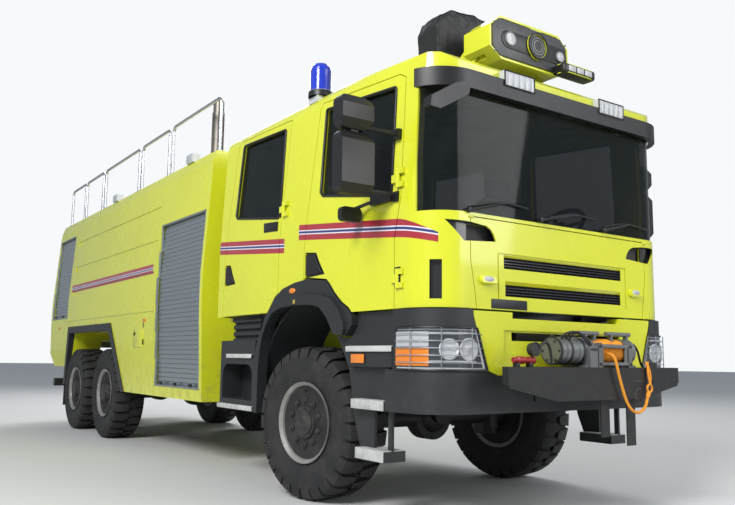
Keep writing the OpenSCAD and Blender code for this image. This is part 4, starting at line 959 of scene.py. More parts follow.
@dataclass
class Studio:
    """Camera at the photograph's angle, pale floor and soft lamps."""

    spot: Point = (-4.228, -5.201, 1.067)
    yaw: float = 34.9
    pitch: float = 7.87
    roll: float = 0.71
    lens: float = 37.41
    sensor: float = 36.0
    floor_colour: Colour = (0.62, 0.62, 0.61)
    floor_radius: float = 90.0
    sky: Colour = (0.82, 0.9, 1.0)
    sky_strength: float = 0.42
    backdrop: Colour = (0.93, 0.95, 0.97)

    # Name, place, target, power in watts and size of each lamp
    LAMPS = (
        ("key_lamp", (-11.0, -5.0, 9.5), (-1.0, 1.5, 1.4), 2000.0, 5.0),
        ("fill_lamp", (5.0, -11.0, 6.5), (0.0, 0.0, 1.5), 720.0, 7.0),
        ("back_lamp", (6.0, 13.0, 10.0), (0.0, 3.0, 1.5), 1250.0, 8.0),
    )

    def camera(self) -> None:
        """Places the camera."""
        yaw, pitch, roll = (math.radians(a) for a in (self.yaw, self.pitch, self.roll))
        ahead = Vector((math.sin(yaw) * math.cos(pitch), math.cos(yaw) * math.cos(pitch), math.sin(pitch)))
        level = Vector((math.cos(yaw), -math.sin(yaw), 0.0))
        upward = level.cross(ahead)
        right = level * math.cos(roll) + upward * math.sin(roll)
        up = right.cross(ahead)
        data = bpy.data.cameras.new("photo_camera")
        data.lens, data.sensor_width, data.sensor_fit = self.lens, self.sensor, "HORIZONTAL"
        data.clip_end = 500.0
        made = link(bpy.data.objects.new("photo_camera", data))
        turn = Matrix((right, up, -ahead)).transposed().to_4x4()
        made.matrix_world = Matrix.Translation(place(*self.spot)) @ turn
        bpy.context.scene.camera = made

    def floor(self) -> None:
        """Lays the pale floor."""
        mesh = bpy.data.meshes.new("floor")
        disc = bmesh.new()
        bmesh.ops.create_circle(disc, cap_ends=True, segments=64, radius=self.floor_radius)
        disc.to_mesh(mesh)
        disc.free()
        s = Shader("floor")
        colour = s.mix(s.noise(6.0, 5.0, 0.6) * 0.3, self.floor_colour, shade(self.floor_colour, 0.9))
        mesh.materials.append(s.surface(Base_Color=colour, Roughness=0.8))
        link(bpy.data.objects.new("floor", mesh))

    def world(self) -> None:
        """Lights everything evenly from all round, and shows a pale backdrop."""
        world = bpy.data.worlds.new("studio")
        world.use_nodes = True
        tree = world.node_tree
        tree.nodes.clear()
        path, seen = tree.nodes.new("ShaderNodeLightPath"), tree.nodes.new("ShaderNodeMath")
        seen.operation = "MAXIMUM"
        tree.links.new(path.outputs["Is Camera Ray"], seen.inputs[0])
        tree.links.new(path.outputs["Is Transmission Ray"], seen.inputs[1])
        mix, out = tree.nodes.new("ShaderNodeMixShader"), tree.nodes.new("ShaderNodeOutputWorld")
        tree.links.new(seen.outputs[0], mix.inputs[0])
        for index, colour, strength in ((1, self.sky, self.sky_strength), (2, self.backdrop, 1.0)):
            light = tree.nodes.new("ShaderNodeBackground")
            light.inputs["Color"].default_value = (*colour, 1.0)
            light.inputs["Strength"].default_value = strength
            tree.links.new(light.outputs[0], mix.inputs[index])
        tree.links.new(mix.outputs[0], out.inputs["Surface"])
        bpy.context.scene.world = world

    def lamp(self, name: str, spot: Point, target: Point, power: float, size: float) -> None:
        """Adds one soft lamp.

        Args:
            name: its name.
            spot: its place, given from the front axle.
            target: the point it looks at.
            power: its power in watts.
            size: side of its square.
        """
        data = bpy.data.lights.new(name, "AREA")
        data.energy, data.size = power, size
        made = link(bpy.data.objects.new(name, data))
        a, b = place(*spot), place(*target)
        made.matrix_world = Matrix.Translation(a) @ (a - b).to_track_quat("Z", "Y").to_matrix().to_4x4()

    def build(self) -> None:
        """Sets up the whole studio."""
        bpy.context.scene.view_settings.view_transform = "Standard"
        self.camera()
        self.floor()
        self.world()
        for lamp in self.LAMPS:
            self.lamp(*lamp)


# Sub-assemblies


@dataclass
class CadDress:
    """Finishes of the CAD nodes that show."""

    finishes: Dict[str, Finish] = field(default_factory=lambda: dict(SLOT_FINISH))

    def build(self, frame: Dict[str, Any]) -> None:
        """Gives each CAD node its finish.
        """
        for part in frame["record"]["subparts"]:
            node = frame["nodes"][part["node"]]
            node.data.materials.clear()
            node.data.materials.append(self.finishes[part["material_slot"]].material())
        LOG.info("%d CAD nodes dressed", len(frame["nodes"]))


def side_x(z: float, out: float = 0.0) -> float:
    """Half width of the cab's side at a height, grown by out."""
    return CAB_HALF + out - max(0.0, z - BELT_Z) * SIDE_SLOPE


def corner_path(grow: float, z: float, from_x: float, to_y: float, steps: int = 10) -> List[Point]:
    """Points round the cab's front left corner at one height.

    Args:
        grow: distance outside the cab.
        z: height.
        from_x: where the path starts on the front.
        to_y: where it ends on the side.
        steps: number of steps in the bend.

    Returns:
        The points, from the front to the side.
    """
    bend = [(x, y, z) for x, y in arc(CORNER_MID, CORNER_R + grow, -90.0, 0.0, steps)]
    first = [(from_x, -CAB_FRONT - grow, z)] if from_x < CORNER_MID[0] else []
    last = [(CAB_HALF + grow, to_y, z)] if to_y > CORNER_MID[1] else []
    return first + [p for p in bend if p[0] >= from_x - TINY and p[1] <= to_y + TINY] + last


@dataclass(frozen=True)
class Spot:
    """Place of one wheel."""

    row: str
    side: float

    WHEELBASE = 5.113
    BOGIE = 1.453
    AXLES = {"front": 0.0, "middle": WHEELBASE, "rear": WHEELBASE + BOGIE}
    AXLE_Z = 0.576
    KINGPIN_X = 0.8
    TYRE_MID = 1.043
    STEER = 7.5

    @property
    def label(self) -> str:
        """Ending of the names of the wheel's pieces."""
        return f"{self.row}_{SIDE_NAMES[self.side]}"

    @property
    def body(self) -> str:
        """Name of the wheel's body."""
        return f"wheel_{self.label}"

    @property
    def matrix(self) -> Matrix:
        """Turns a wheel drawn at the origin, with its outside towards +X, to its place.

        Returns:
            The matrix.
        """
        turn = Matrix.Rotation(math.radians(self.STEER if self.row == "front" else 0.0), 4, "Z")
        pin = Matrix.Translation(place(self.side * self.KINGPIN_X, self.AXLES[self.row], self.AXLE_Z))
        arm = Matrix.Translation((self.side * (self.TYRE_MID - self.KINGPIN_X), 0.0, 0.0))
        return pin @ turn @ arm @ Matrix.Diagonal((self.side, 1.0, 1.0, 1.0)) @ FROM_AXLE


SPOTS = tuple(Spot(row, side) for row in Spot.AXLES for side in SIDES)


@dataclass
class Wheels:
    """Tyres with lugs and ribbed walls, wheel nuts, hub covers and valves."""

    lugs: int = 27
    radius: float = 0.576
    disc_x: float = 0.197 - 0.064
    studs: int = 10
    stud_ring: float = 0.168
    cap_screws: int = 8
    cap_screw_ring: float = 0.107
    tread_steps: int = 96

    # Half a tyre's section as (distance from its middle, radius), from the bead to the tread
    WALL = ((0.150, 0.287), (0.163, 0.305), (0.166, 0.330), (0.172, 0.345), (0.174, 0.352), (0.184, 0.385),
            (0.186, 0.388), (0.186, 0.400), (0.1895, 0.404), (0.1915, 0.44), (0.1875, 0.475), (0.1885, 0.479),
            (0.185, 0.49), (0.180, 0.505), (0.172, 0.528), (0.150, 0.541), (0.075, 0.546))
    # Outline of a lug in the same measures, from the middle over the shoulder and back inside
    LUG = ((0.010, 0.540), (0.008, 0.576), (0.085, 0.5755), (0.152, 0.571), (0.176, 0.558), (0.1925, 0.510),
           (0.1895, 0.487), (0.180, 0.487), (0.150, 0.535))
    # Flanks of a lug, as (distance along the tread from its middle line, skew towards the shoulder)
    FLANKS = ((-0.036, -0.020), (0.036, 0.012))
    # How far the hub's end stands outside the disc
    CAPS = {"front": 0.042, "middle": 0.052, "rear": 0.052}

    def tyre(self) -> Form:
        """One tyre at the origin."""
        section = [(-x, r) for x, r in self.WALL] + list(reversed(self.WALL))
        return Form().lathe((0.0, 0.0, 0.0), ACROSS, section, self.tread_steps)

    def lug_ring(self) -> Form:
        """The two rows of lugs of one tyre, at the origin.

        Returns:
            The form.
        """
        part = bmesh.new()
        flanks = []
        for turn, skew in self.FLANKS:
            flank = []
            for x, r in self.LUG:
                a = (turn * (0.80 + 1.6 * x) + skew * min(x / 0.1, 1.0)) / self.radius
                flank.append(part.verts.new(place(x, r * math.sin(a), r * math.cos(a))))
            flanks.append(flank)
        first, second = flanks
        part.faces.new(first)
        part.faces.new(list(reversed(second)))
        for i in range(len(first)):
            j = (i + 1) % len(first)
            part.faces.new((first[i], second[i], second[j], first[j]))
        centre = Matrix.Translation((0.0, AXLE_Y, 0.0))
        swap = Matrix.Rotation(math.pi, 4, "Z")
        step = 2 * math.pi / self.lugs
        turns = []
        for k in range(self.lugs):
            turns.append(centre @ Matrix.Rotation(k * step, 4, "X") @ centre.inverted())
            turns.append(centre @ Matrix.Rotation((k + 0.5) * step, 4, "X") @ swap @ centre.inverted())
        return Form().add(part, 0.004, 1).repeated(turns)

    def nuts(self, cap: float) -> Form:
        """Nuts, hub cover and valve of one wheel, at the origin.

        Args:
            cap: how far the hub's end stands outside the disc.

        Returns:
            The form.
        """
        form = Form()
        disc = self.disc_x
        for y, z in ring(self.studs, self.stud_ring, 0.5):
            form.rod((disc - 0.002, y, z), (disc + 0.006, y, z), 0.027, 24, 0.002)
            form.rod((disc + 0.005, y, z), (disc + 0.032, y, z), 0.0205, 6, 0.002)
            form.rod((disc + 0.030, y, z), (disc + 0.046, y, z), 0.013, 16, 0.001)
        cover = [(0.0, 0.139), (cap - 0.012, 0.1195), (cap - 0.008, 0.1195), (cap - 0.008, 0.094),
                 (cap + 0.001, 0.0935), (cap + 0.003, 0.088), (cap + 0.003, 0.05), (cap + 0.006, 0.045),
                 (cap + 0.006, 0.0)]
        form.lathe((disc, 0.0, 0.0), ACROSS, cover)
        for y, z in ring(self.cap_screws, self.cap_screw_ring):
            form.rod((disc + cap - 0.009, y, z), (disc + cap - 0.002, y, z), 0.007, 6)
        form.tube([(disc - 0.01, 0.0, 0.225), (disc + 0.02, 0.0, 0.232), (disc + 0.045, 0.0, 0.246)], 0.006)
        return form

    def build(self) -> None:
        """Makes every wheel's pieces."""
        for spot in SPOTS:
            rubber = self.tyre().take(self.lug_ring().bm).repeated((spot.matrix,))
            made = rubber.piece(f"road_tyre_{spot.label}", spot.body, Finish.RUBBER, 40.0, "tyre")
            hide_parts(f"tyre_{spot.label}")
            nuts = self.nuts(self.CAPS[spot.row]).repeated((spot.matrix,))
            nuts.piece(f"hub_nuts_{spot.label}", spot.body, Finish.CAST_STEEL)


@dataclass(frozen=True)
class Step:
    """White anti-slip face of one step, by its edges."""

    low: float
    high: float
    front: float
    rear: float
    inner: float
    outer: float = STEP_OUT
    ribbed: bool = True
    pitch: float = 0.028

    def dress(self, form: Form) -> None:
        """Adds the step's edge and tread, and its ribs where it has them.

        Args:
            form: the form that gets them.
        """
        edge = self.outer + 0.004
        form.box((self.outer - 0.001, self.front, self.low + 0.002), (edge, self.rear, self.high + 0.002),
                 0.002)
        form.box((self.inner, self.front, self.high - 0.001), (edge, self.rear, self.high + 0.003), 0.001)
        for k in range(int((self.rear - self.front) / self.pitch) if self.ribbed else 0):
            y = self.front + (k + 0.5) * self.pitch
            form.box((self.inner + 0.006, y - 0.004, self.high + 0.002),
                     (self.outer - 0.004, y + 0.004, self.high + 0.006), 0.001, 1)


@dataclass
class CabTrim:
    """Seals, handles, wipers, steps and lamps of the cab."""

    rear_hinge: float = 0.338
    brow_x: float = 0.492
    brow_half: float = 0.143
    beacon_at: Flat = (-1.08, 0.02)
    lamp_z: float = 1.128
    mesh_bars: int = 60

    # Side windows and the recess round each door's grip, as (y, z)
    FRONT_WINDOW = ((-1.157, 2.154), (-0.222, 2.310), (-0.240, 2.990), (-0.252, 3.003), (-1.140, 2.925),
                    (-1.157, 2.905))
    REAR_WINDOW = ((rear_hinge + 0.077, 2.225), (CAB_REAR - 0.310, 2.345), (CAB_REAR - 0.368, 3.020),
                   (CAB_REAR - 0.385, 3.037), (rear_hinge + 0.090, 3.002), (rear_hinge + 0.077, 2.985))
    GRIPS = {
        "front_door": ((-0.024, 1.885), (-0.190, 1.868), (-0.245, 1.785), (-0.322, 1.690), (-0.024, 1.680)),
        "rear_door": ((CAB_REAR - 0.134, 1.920), (CAB_REAR - 0.250, 1.908), (CAB_REAR - 0.308, 1.805),
                      (CAB_REAR - 0.365, 1.726), (CAB_REAR - 0.134, 1.718)),
    }
    STEPS = (
        Step(1.109, 1.145, -1.203, -0.664, 1.15),
        Step(0.724, 0.786, -1.122, -0.742, 1.11),
        Step(0.396, 0.466, -1.125, -0.802, 1.06),
        Step(1.052, 1.087, 0.85, 1.36, 1.0, CAB_HALF + 0.006, False),
        Step(0.602, 0.641, 0.80, 1.51, 0.94, CAB_HALF + 0.012, False),
    )
    # Pivot, blade's right end and joint of each wiper, as (x, z)
    WIPERS = (
        ((-0.93, 2.02), (-0.40, 2.085), (-0.62, 2.1)),
        ((-0.26, 2.03), (0.33, 2.09), (0.08, 2.1)),
        ((0.42, 2.03), (0.93, 2.08), (0.7, 2.1)),
    )

    def window(self, outline: Outline, name: str, side: float, body: str) -> None:
        """Rubber seal round one side window.

        Args:
            outline: the window in (y, z).
            name: the piece's name without its side.
            side: 1 for the truck's left, -1 for its right.
            body: the body that carries it, without its side.
        """
        points: List[Point] = []
        for (y, z), (next_y, next_z) in zip(outline, (*outline[1:], outline[0])):
            for share in (0.04, 0.5, 0.96):
                height = z + (next_z - z) * share
                points.append((side_x(height, 0.001), y + (next_y - y) * share, height))
        label = SIDE_NAMES[side]
        form = Form().tube(points, 0.011, 2, closed=True, smooth=False).on_side(side)
        form.piece(f"{name}_{label}", f"{body}_{label}", Finish.SATIN_BLACK, 60.0)

    @staticmethod
    def grip(outline: Outline, door: str, side: float) -> None:
        """Recessed plate and grip of one door.

        Args:
            outline: the recess in (y, z).
            door: the door's body without its side.
            side: 1 for the truck's left, -1 for its right.
        """
        mid_y, mid_z = (sum(values) / len(outline) for values in zip(*outline))
        plate = [(mid_y + (y - mid_y) * 0.97, mid_z + (z - mid_z) * 0.97) for y, z in outline]
        inner = [(mid_y + (y - mid_y) * 0.78 + 0.015, mid_z + (z - mid_z) * 0.8) for y, z in outline]
        form = Form().prism(Axis.X, plate, CAB_HALF - 0.0255, CAB_HALF - 0.012, 0.003)
        form.prism(Axis.X, inner, CAB_HALF - 0.013, CAB_HALF + 0.004, 0.006, 3).on_side(side)
        label = SIDE_NAMES[side]
        form.piece(f"{door}_handle_{label}", f"{door}_{label}", Finish.SATIN_BLACK)

    def doors(self) -> None:
        """Seals and grips of the doors, the corner's louvres and a blank plate on the right rear door."""
        for side in SIDES:
            self.window(self.FRONT_WINDOW, "front_window_seal", side, "front_door")
            self.window(self.REAR_WINDOW, "rear_window_seal", side, "rear_door")
            for door, outline in self.GRIPS.items():
                self.grip(outline, door, side)
        corners = [(-1.262, 1.524), (-1.2, 1.524), (-1.2, 1.662), (-1.262, 1.662)]
        louvre = Form().prism(Axis.X, corners, CAB_HALF - 0.004, CAB_HALF + 0.006, 0.004)
        for k in range(6):
            z = 1.538 + k * 0.021
            louvre.box((CAB_HALF + 0.004, -1.255, z), (CAB_HALF + 0.010, -1.207, z + 0.008), 0.002)
        louvre.both_sides().piece("corner_louvres", "chassis", Finish.SATIN_BLACK)
        corners = [(0.444, 2.118), (0.697, 2.135), (0.697, 2.218), (0.444, 2.2)]
        plate = Form().prism(Axis.X, corners, CAB_HALF - 0.002, CAB_HALF + 0.004, 0.003).on_side(-1.0)
        plate.piece("blank_side_plate", "rear_door_right", Finish.SATIN_BLACK)

    def steps(self) -> None:
        """White anti-slip faces of the steps, with their ribs."""
        form = Form()
        for step in self.STEPS:
            step.dress(form)
        form.both_sides().piece("step_faces", "chassis", Finish.STEP_WHITE)

    def markers(self) -> None:
        """Amber side lamps on the steps and the flares, and the flares' yellow marks."""
        side = Form().box((STEP_OUT - 0.008, -0.885, 1.032), (STEP_OUT + 0.002, -0.731, 1.094), 0.004, 3)
        side.both_sides().piece("side_markers", "chassis", Finish.AMBER_LENS)
        flare = Form().ball((CAB_HALF + 0.008, 0.155, 1.593), (0.014, 0.05, 0.024), 10)
        flare.both_sides().piece("flare_lamps", "chassis", Finish.AMBER_LENS)
        mark = Form().box((CAB_HALF + 0.034, 0.062, 1.486), (CAB_HALF + 0.037, 0.09, 1.516), 0.001)
        mark.both_sides().piece("flare_marks", "chassis", Finish.YELLOW_LENS)

    @staticmethod
    def band(form: Form, grow: float, heights: Flat, starts: Flat, steps: int, thick: float,
             to_y: float = -1.262) -> None:
        """Adds a curved band round the cab's front left corner.

        Args:
            form: the form that gets it.
            grow: distance of its inner face outside the cab.
            heights: of its lower and its upper edge.
            starts: where these edges start on the front.
            steps: number of steps in the bend.
            thick: its thickness, outwards.
            to_y: where it ends on the side.
        """
        low, high = (corner_path(grow, z, x, to_y, steps) for z, x in zip(heights, starts))
        part = bmesh.new()
        rings = []
        for a, b in zip(low, high):
            way = Vector((max(0.0, a[0] - CORNER_MID[0]), min(0.0, a[1] - CORNER_MID[1]), 0.0))
            way = (way.normalized() if way.length > TINY else Vector(AHEAD)) * thick
            foot, head = place(*a), place(*b)
            rings.append([part.verts.new(v) for v in (foot, head, head + way, foot + way)])
        for first, second in zip(rings, rings[1:]):
            for i in range(4):
                j = (i + 1) % 4
                part.faces.new((first[i], first[j], second[j], second[i]))
        part.faces.new(rings[0])
        part.faces.new(list(reversed(rings[-1])))
        form.add(part)

    def reflector(self, form: Form, x: float, radius: float) -> None:
        """Adds one round reflector, square to the curved corner.

        Args:
            form: the form that gets it.
            x: its place across the truck.
            radius: its radius.
        """
        face = CORNER_R + 0.029
        a = -math.acos(min(1.0, (x - CORNER_MID[0]) / face))
        out_x, out_y = math.cos(a), math.sin(a)
        foot = face - 0.002
        centre = (CORNER_MID[0] + out_x * foot, CORNER_MID[1] + out_y * foot, self.lamp_z)
        form.lathe(centre, (out_x, out_y, 0.0), [(0.0, radius), (0.006, radius), (0.009, radius - 0.006),
                   (0.004, radius - 0.016), (0.002, radius * 0.5), (0.006, 0.018), (0.011, 0.0)], 32)

    def head_lamps(self) -> None:
        """Bowls, reflectors, amber indicators, frames and wire guards of the head lamps."""
        dark, steel, amber, frame, guard = (Form() for _ in range(5))
        self.band(dark, 0.0262, (1.015, 1.248), (0.84, 0.9), 10, 0.003)
        for x, radius in ((0.955, 0.072), (1.085, 0.066)):
            self.reflector(steel, x, radius)
        self.band(amber, 0.030, (1.024, 1.132), (1.17, 1.17), 24, 0.006)
        self.band(steel, 0.030, (1.142, 1.236), (1.17, 1.17), 24, 0.004)
        for z in (1.05, 1.225):
            self.band(steel, 0.0295, (z, z + 0.007), (0.9, 0.9), 10, 0.004, -1.264)
        low, high = (0.80, 0.998), (0.885, 1.262)
        for x, z in (high, low):
            frame.tube(corner_path(0.03, z, x, -1.26), 0.008, 2, smooth=False)
        frame.tube([(x, -1.63, z) for x, z in (low, high)], 0.008, 2, smooth=False)
        end = CAB_HALF + 0.03
        frame.tube([(end, -1.252, low[1]), (end, -1.258, high[1])], 0.008, 2, smooth=False)
        for z in (1.045, 1.09, 1.135, 1.18, 1.222):
            guard.tube(corner_path(0.046, z, 0.86, -1.27), 0.0032, 1, smooth=False)
        for x, y in arc(CORNER_MID, CORNER_R + 0.05, -88.0, -16.0, 2):
            guard.tube([(x, y, 1.0), (x, y, 1.26)], 0.0036, 1, smooth=False)
        for form, name, finish in ((dark, "lamp_bowls", Finish.LAMP_BOWL),
                                   (steel, "lamp_reflectors", Finish.REFLECTOR),
                                   (amber, "lamp_indicators", Finish.AMBER_LENS),
                                   (frame, "lamp_frames", Finish.SATIN_BLACK),
                                   (guard, "lamp_guards", Finish.POLISHED)):
            form.both_sides().piece(name, "chassis", finish)

    def wipers(self) -> None:
        """Three wipers parked along the windscreen's foot."""
        form = Form()
        y = -CAB_FRONT
        for pivot, tip, joint in self.WIPERS:
            form.rod((pivot[0], y + 0.004, pivot[1]), (pivot[0], y - 0.028, pivot[1]), 0.018, bevel=0.004)
            form.tube([(pivot[0], y - 0.024, pivot[1]), (joint[0], y - 0.022, joint[1])], 0.008, 2)
            form.tube([(tip[0] - 0.5, y - 0.006, pivot[1] + 0.03), (joint[0], y - 0.008, joint[1] + 0.004),
                       (tip[0] + 0.02, y - 0.006, tip[1] + 0.01)], 0.007, 2)
        form.piece("wipers", "chassis", Finish.SATIN_BLACK)

    def brow(self) -> None:
        """Frames and glass bars of the lamps in the visor."""
        y = -CAB_FRONT - 0.055
        a, b = self.brow_x - self.brow_half, self.brow_x + self.brow_half
        corners = [(a, y, 2.911), (b, y, 2.911), (b, y, 3.017), (a, y, 3.017)]
        frame, bars = Form().tube(corners, 0.006, 2, closed=True, smooth=False), Form()
        for k in range(5):
            x = a + 0.03 + k * 0.056
            bars.box((x, y - 0.002, 2.92), (x + 0.036, y + 0.003, 3.008), 0.003)
        frame.both_sides().piece("brow_lamp_frames", "chassis", Finish.SATIN_BLACK)
        bars.both_sides().piece("brow_lamp_glass", "chassis", Finish.REFLECTOR)

    def beacon(self) -> None:
        """Ribbed dome of the warning beacon and its collar."""
        dome = [(0.0, 0.0875), (0.012, 0.0875), (0.014, 0.087), (0.175, 0.0875), (0.182, 0.0865),
                (0.21, 0.078), (0.232, 0.062), (0.2375, 0.05), (0.2385, 0.0)]
        Form().lathe((*self.beacon_at, 3.24), UP, dome).piece("beacon_dome", "chassis", Finish.BLUE_LENS)
        collar = [(0.0, 0.101), (0.04, 0.101), (0.05, 0.096), (0.0515, 0.088)]
        base = Form().lathe((*self.beacon_at, 3.19), UP, collar)
        base.piece("beacon_collar", "chassis", Finish.SATIN_BLACK)

    def grille(self) -> None:
        """Mesh behind the front panel's slots, its blank plate and its marker lenses."""
        mesh = Form()
        y = -CAB_FRONT
        for half, low, high in ((0.614, 1.664, 1.741), (0.603, 1.481, 1.558)):
            mesh.box((-half - 0.01, y + 0.035, low - 0.01), (half + 0.01, y + 0.04, high + 0.01), 0.001)
            for k in range(self.mesh_bars):
                x = -half + (k + 0.5) * 2 * half / self.mesh_bars
                mesh.box((x - 0.002, y + 0.021, low), (x + 0.002, y + 0.036, high))
        mesh.piece("grille_mesh", "front_hatch", Finish.SATIN_BLACK)
        plate = Form().box((-0.732, y - 0.004, 1.397), (-0.402, y + 0.001, 1.46), 0.003, 3)
        plate.piece("blank_front_plate", "front_hatch", Finish.SATIN_BLACK)
        lamps = Form()
        for side in SIDES:
            lamps.ball((side * 0.766, y - 0.016, 1.582), (0.05, 0.0135, 0.023), 12)
        lamps.piece("front_marker_lenses", "front_hatch", Finish.REFLECTOR)

    def mirrors(self) -> None:
        """Mirror glass behind the housings on each door."""
        r = 0.04
        for side in SIDES:
            form = Form()
            for x0, x1, z0, z1 in ((1.405, 1.620, 2.150, 2.525), (1.412, 1.620, 2.585, 2.770)):
                corners = ((x0 + r, z0 + r, 180), (x1 - r, z0 + r, 270), (x1 - r, z1 - r, 0),
                           (x0 + r, z1 - r, 90))
                outline = [p for x, z, start in corners for p in arc((x, z), r, start, start + 90, 5)]
                form.prism(Axis.Y, outline, -1.0755, -1.072, 0.001)
            label = SIDE_NAMES[side]
            form.on_side(side).piece(f"mirror_glass_{label}", f"front_door_{label}", Finish.MIRROR)

    def build(self) -> None:
        """Makes the cab's trim."""
        self.doors()
        self.steps()
        self.markers()
        self.head_lamps()
        self.wipers()
        self.brow()
        self.beacon()
        self.grille()
        self.mirrors()


@dataclass
class WinchGear:
    """Rope with its wraps and hook, and the fittings round the winch."""

    rope_radius: float = 0.010
    axis_y: float = -1.76
    axis_z: float = 1.13
    wraps: int = 14
    wrap_steps: int = 20
    wrap_ring: float = 0.0795
    wrap_pitch: float = 0.021

    # The rope's middle line, as in the frame
    ROPE_LINE = (
        (0.100, -1.8295, 1.1199), (0.100, -1.884, 1.112), (0.104, -1.905, 1.092), (0.110, -1.914, 1.062),
        (0.120, -1.916, 1.022), (0.134, -1.916, 0.978), (0.151, -1.916, 0.930), (0.170, -1.916, 0.880),
        (0.191, -1.916, 0.832), (0.216, -1.916, 0.788), (0.248, -1.916, 0.752), (0.286, -1.916, 0.730),
        (0.328, -1.916, 0.722), (0.368, -1.916, 0.730), (0.402, -1.916, 0.752), (0.428, -1.914, 0.784),
        (0.446, -1.912, 0.820),
    )

    def bent(self, per_leg: int = 5) -> List[Point]:
        """The rope's middle line as a smooth curve through its points.

        Args:
            per_leg: steps between two of the points.

        Returns:
            The curve's points, given from the front axle.
        """
        knots = [Vector(p) for p in self.ROPE_LINE]
        line: List[Point] = []
        for i in range(len(knots) - 1):
            p0, p1 = knots[max(i - 1, 0)], knots[i]
            p2, p3 = knots[i + 1], knots[min(i + 2, len(knots) - 1)]
            for k in range(per_leg):
                s = k / per_leg
                line.append(tuple(0.5 * (2 * p1 + (p2 - p0) * s + (2 * p0 - 5 * p1 + 4 * p2 - p3) * s * s
                                         + (3 * p1 - 3 * p2 + p3 - p0) * s ** 3)))
        return line + [self.ROPE_LINE[-1]]

    def hook(self) -> bpy.types.Object:
        """Ferrule and thimble at the rope's end, and the sling to the tray.

        Returns:
            The ferrule with its thimble.
        """
        end, before = Vector(self.ROPE_LINE[-1]), Vector(self.ROPE_LINE[-2])
        way = (end - before).normalized()
        ferrule = [(0.002, 0.0), (0.002, 0.013), (0.008, 0.0145), (0.040, 0.0145), (0.046, 0.012),
                   (0.046, 0.0)]
        form = Form().lathe(tuple(end), tuple(way), ferrule, 24)
        eye = end + way * 0.070
        form.tube([tuple(eye + Vector((x, 0.0, z))) for x, z in ring(16, 0.026)], 0.0075, 3, closed=True)
        start, stop = end + way * 0.094, Vector((0.490, -1.889, 1.054))
        middle = (start + stop) / 2
        sling = Form()
        for off in (-0.011, 0.011):
            sling.tube([tuple(start), tuple(middle + Vector((off, -0.003, 0.0))), tuple(stop)], 0.0075, 3)
        sling.box((0.476, -1.893, 1.040), (0.504, -1.879, 1.066), 0.003)
        sling.piece("rope_sling", "chassis", Finish.ROPE, 50.0)
        made = form.piece("rope_hook", "chassis", Finish.ROPE, 50.0, "rope")
        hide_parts("winch_hook")
        return made

    def rope(self) -> None:
        """The free rope and its wraps on the drum."""
        line = self.bent()
        form = Form().tube(line, self.rope_radius, 3, smooth=False)
        made = form.piece("rope_free", "chassis", Finish.ROPE, 60.0, "rope")
        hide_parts("winch_rope")
        row = [place(*p) for p in line]
        self.hook()
        coil: List[Point] = []
        for k in range(self.wraps * self.wrap_steps + 1):
            a = 2 * math.pi * k / self.wrap_steps
            coil.append((0.008 + self.wrap_pitch * k / self.wrap_steps,
                         self.axis_y + self.wrap_ring * math.sin(a),
                         self.axis_z + self.wrap_ring * math.cos(a)))
        Form().tube(coil, 0.0095, 2, smooth=False).piece("rope_wraps", "chassis", Finish.ROPE, 60.0)

    def housing(self, steel: Form, black: Form) -> None:
        """Clamp bands, end screws, leads and switches of the winch's housing.

        Args:
            steel: the form of the bare metal pieces.
            black: the form of the leads.
        """
        y, z = self.axis_y, self.axis_z
        clamp = [(-0.006, 0.089), (-0.006, 0.0935), (0.006, 0.0935), (0.006, 0.089)]
        for x in (-0.343, -0.24, -0.122):
            steel.lathe((x, y, z), ACROSS, clamp, 40)
            steel.box((x - 0.006, y - 0.012, z + 0.090), (x + 0.006, y + 0.012, z + 0.106), 0.002)
        for x, radius in ((-0.3545, 0.07), (0.4215, 0.075)):
            for off_y, off_z in ring(6, radius):
                steel.rod((x - 0.005, y + off_y, z + off_z), (x + 0.005, y + off_y, z + off_z), 0.008, 6)
        for x, end in ((-0.30, -0.052), (-0.26, -0.066), (-0.22, -0.08)):
            black.tube([(x, y - 0.04, z + 0.078), (x + 0.02, y - 0.07, z + 0.115),
                        (end - 0.03, y - 0.085, z + 0.075), (end, y - 0.088, z + 0.03)], 0.007, 3)
        black.tube([(0.38, y - 0.05, z + 0.07), (0.46, y - 0.055, z + 0.04), (0.54, y - 0.04, 1.05),
                    (0.62, y, 1.032)], 0.008, 3)
        for x in (-0.084, -0.062, -0.040):
            steel.rod((x, -1.8745, 1.142), (x, -1.879, 1.142), 0.008, 16, 0.001)
        for x in (0.003, 0.323):
            for height in (1.046, 1.166):
                steel.rod((x, -1.877, height), (x, -1.884, height), 0.011, 6, 0.001)

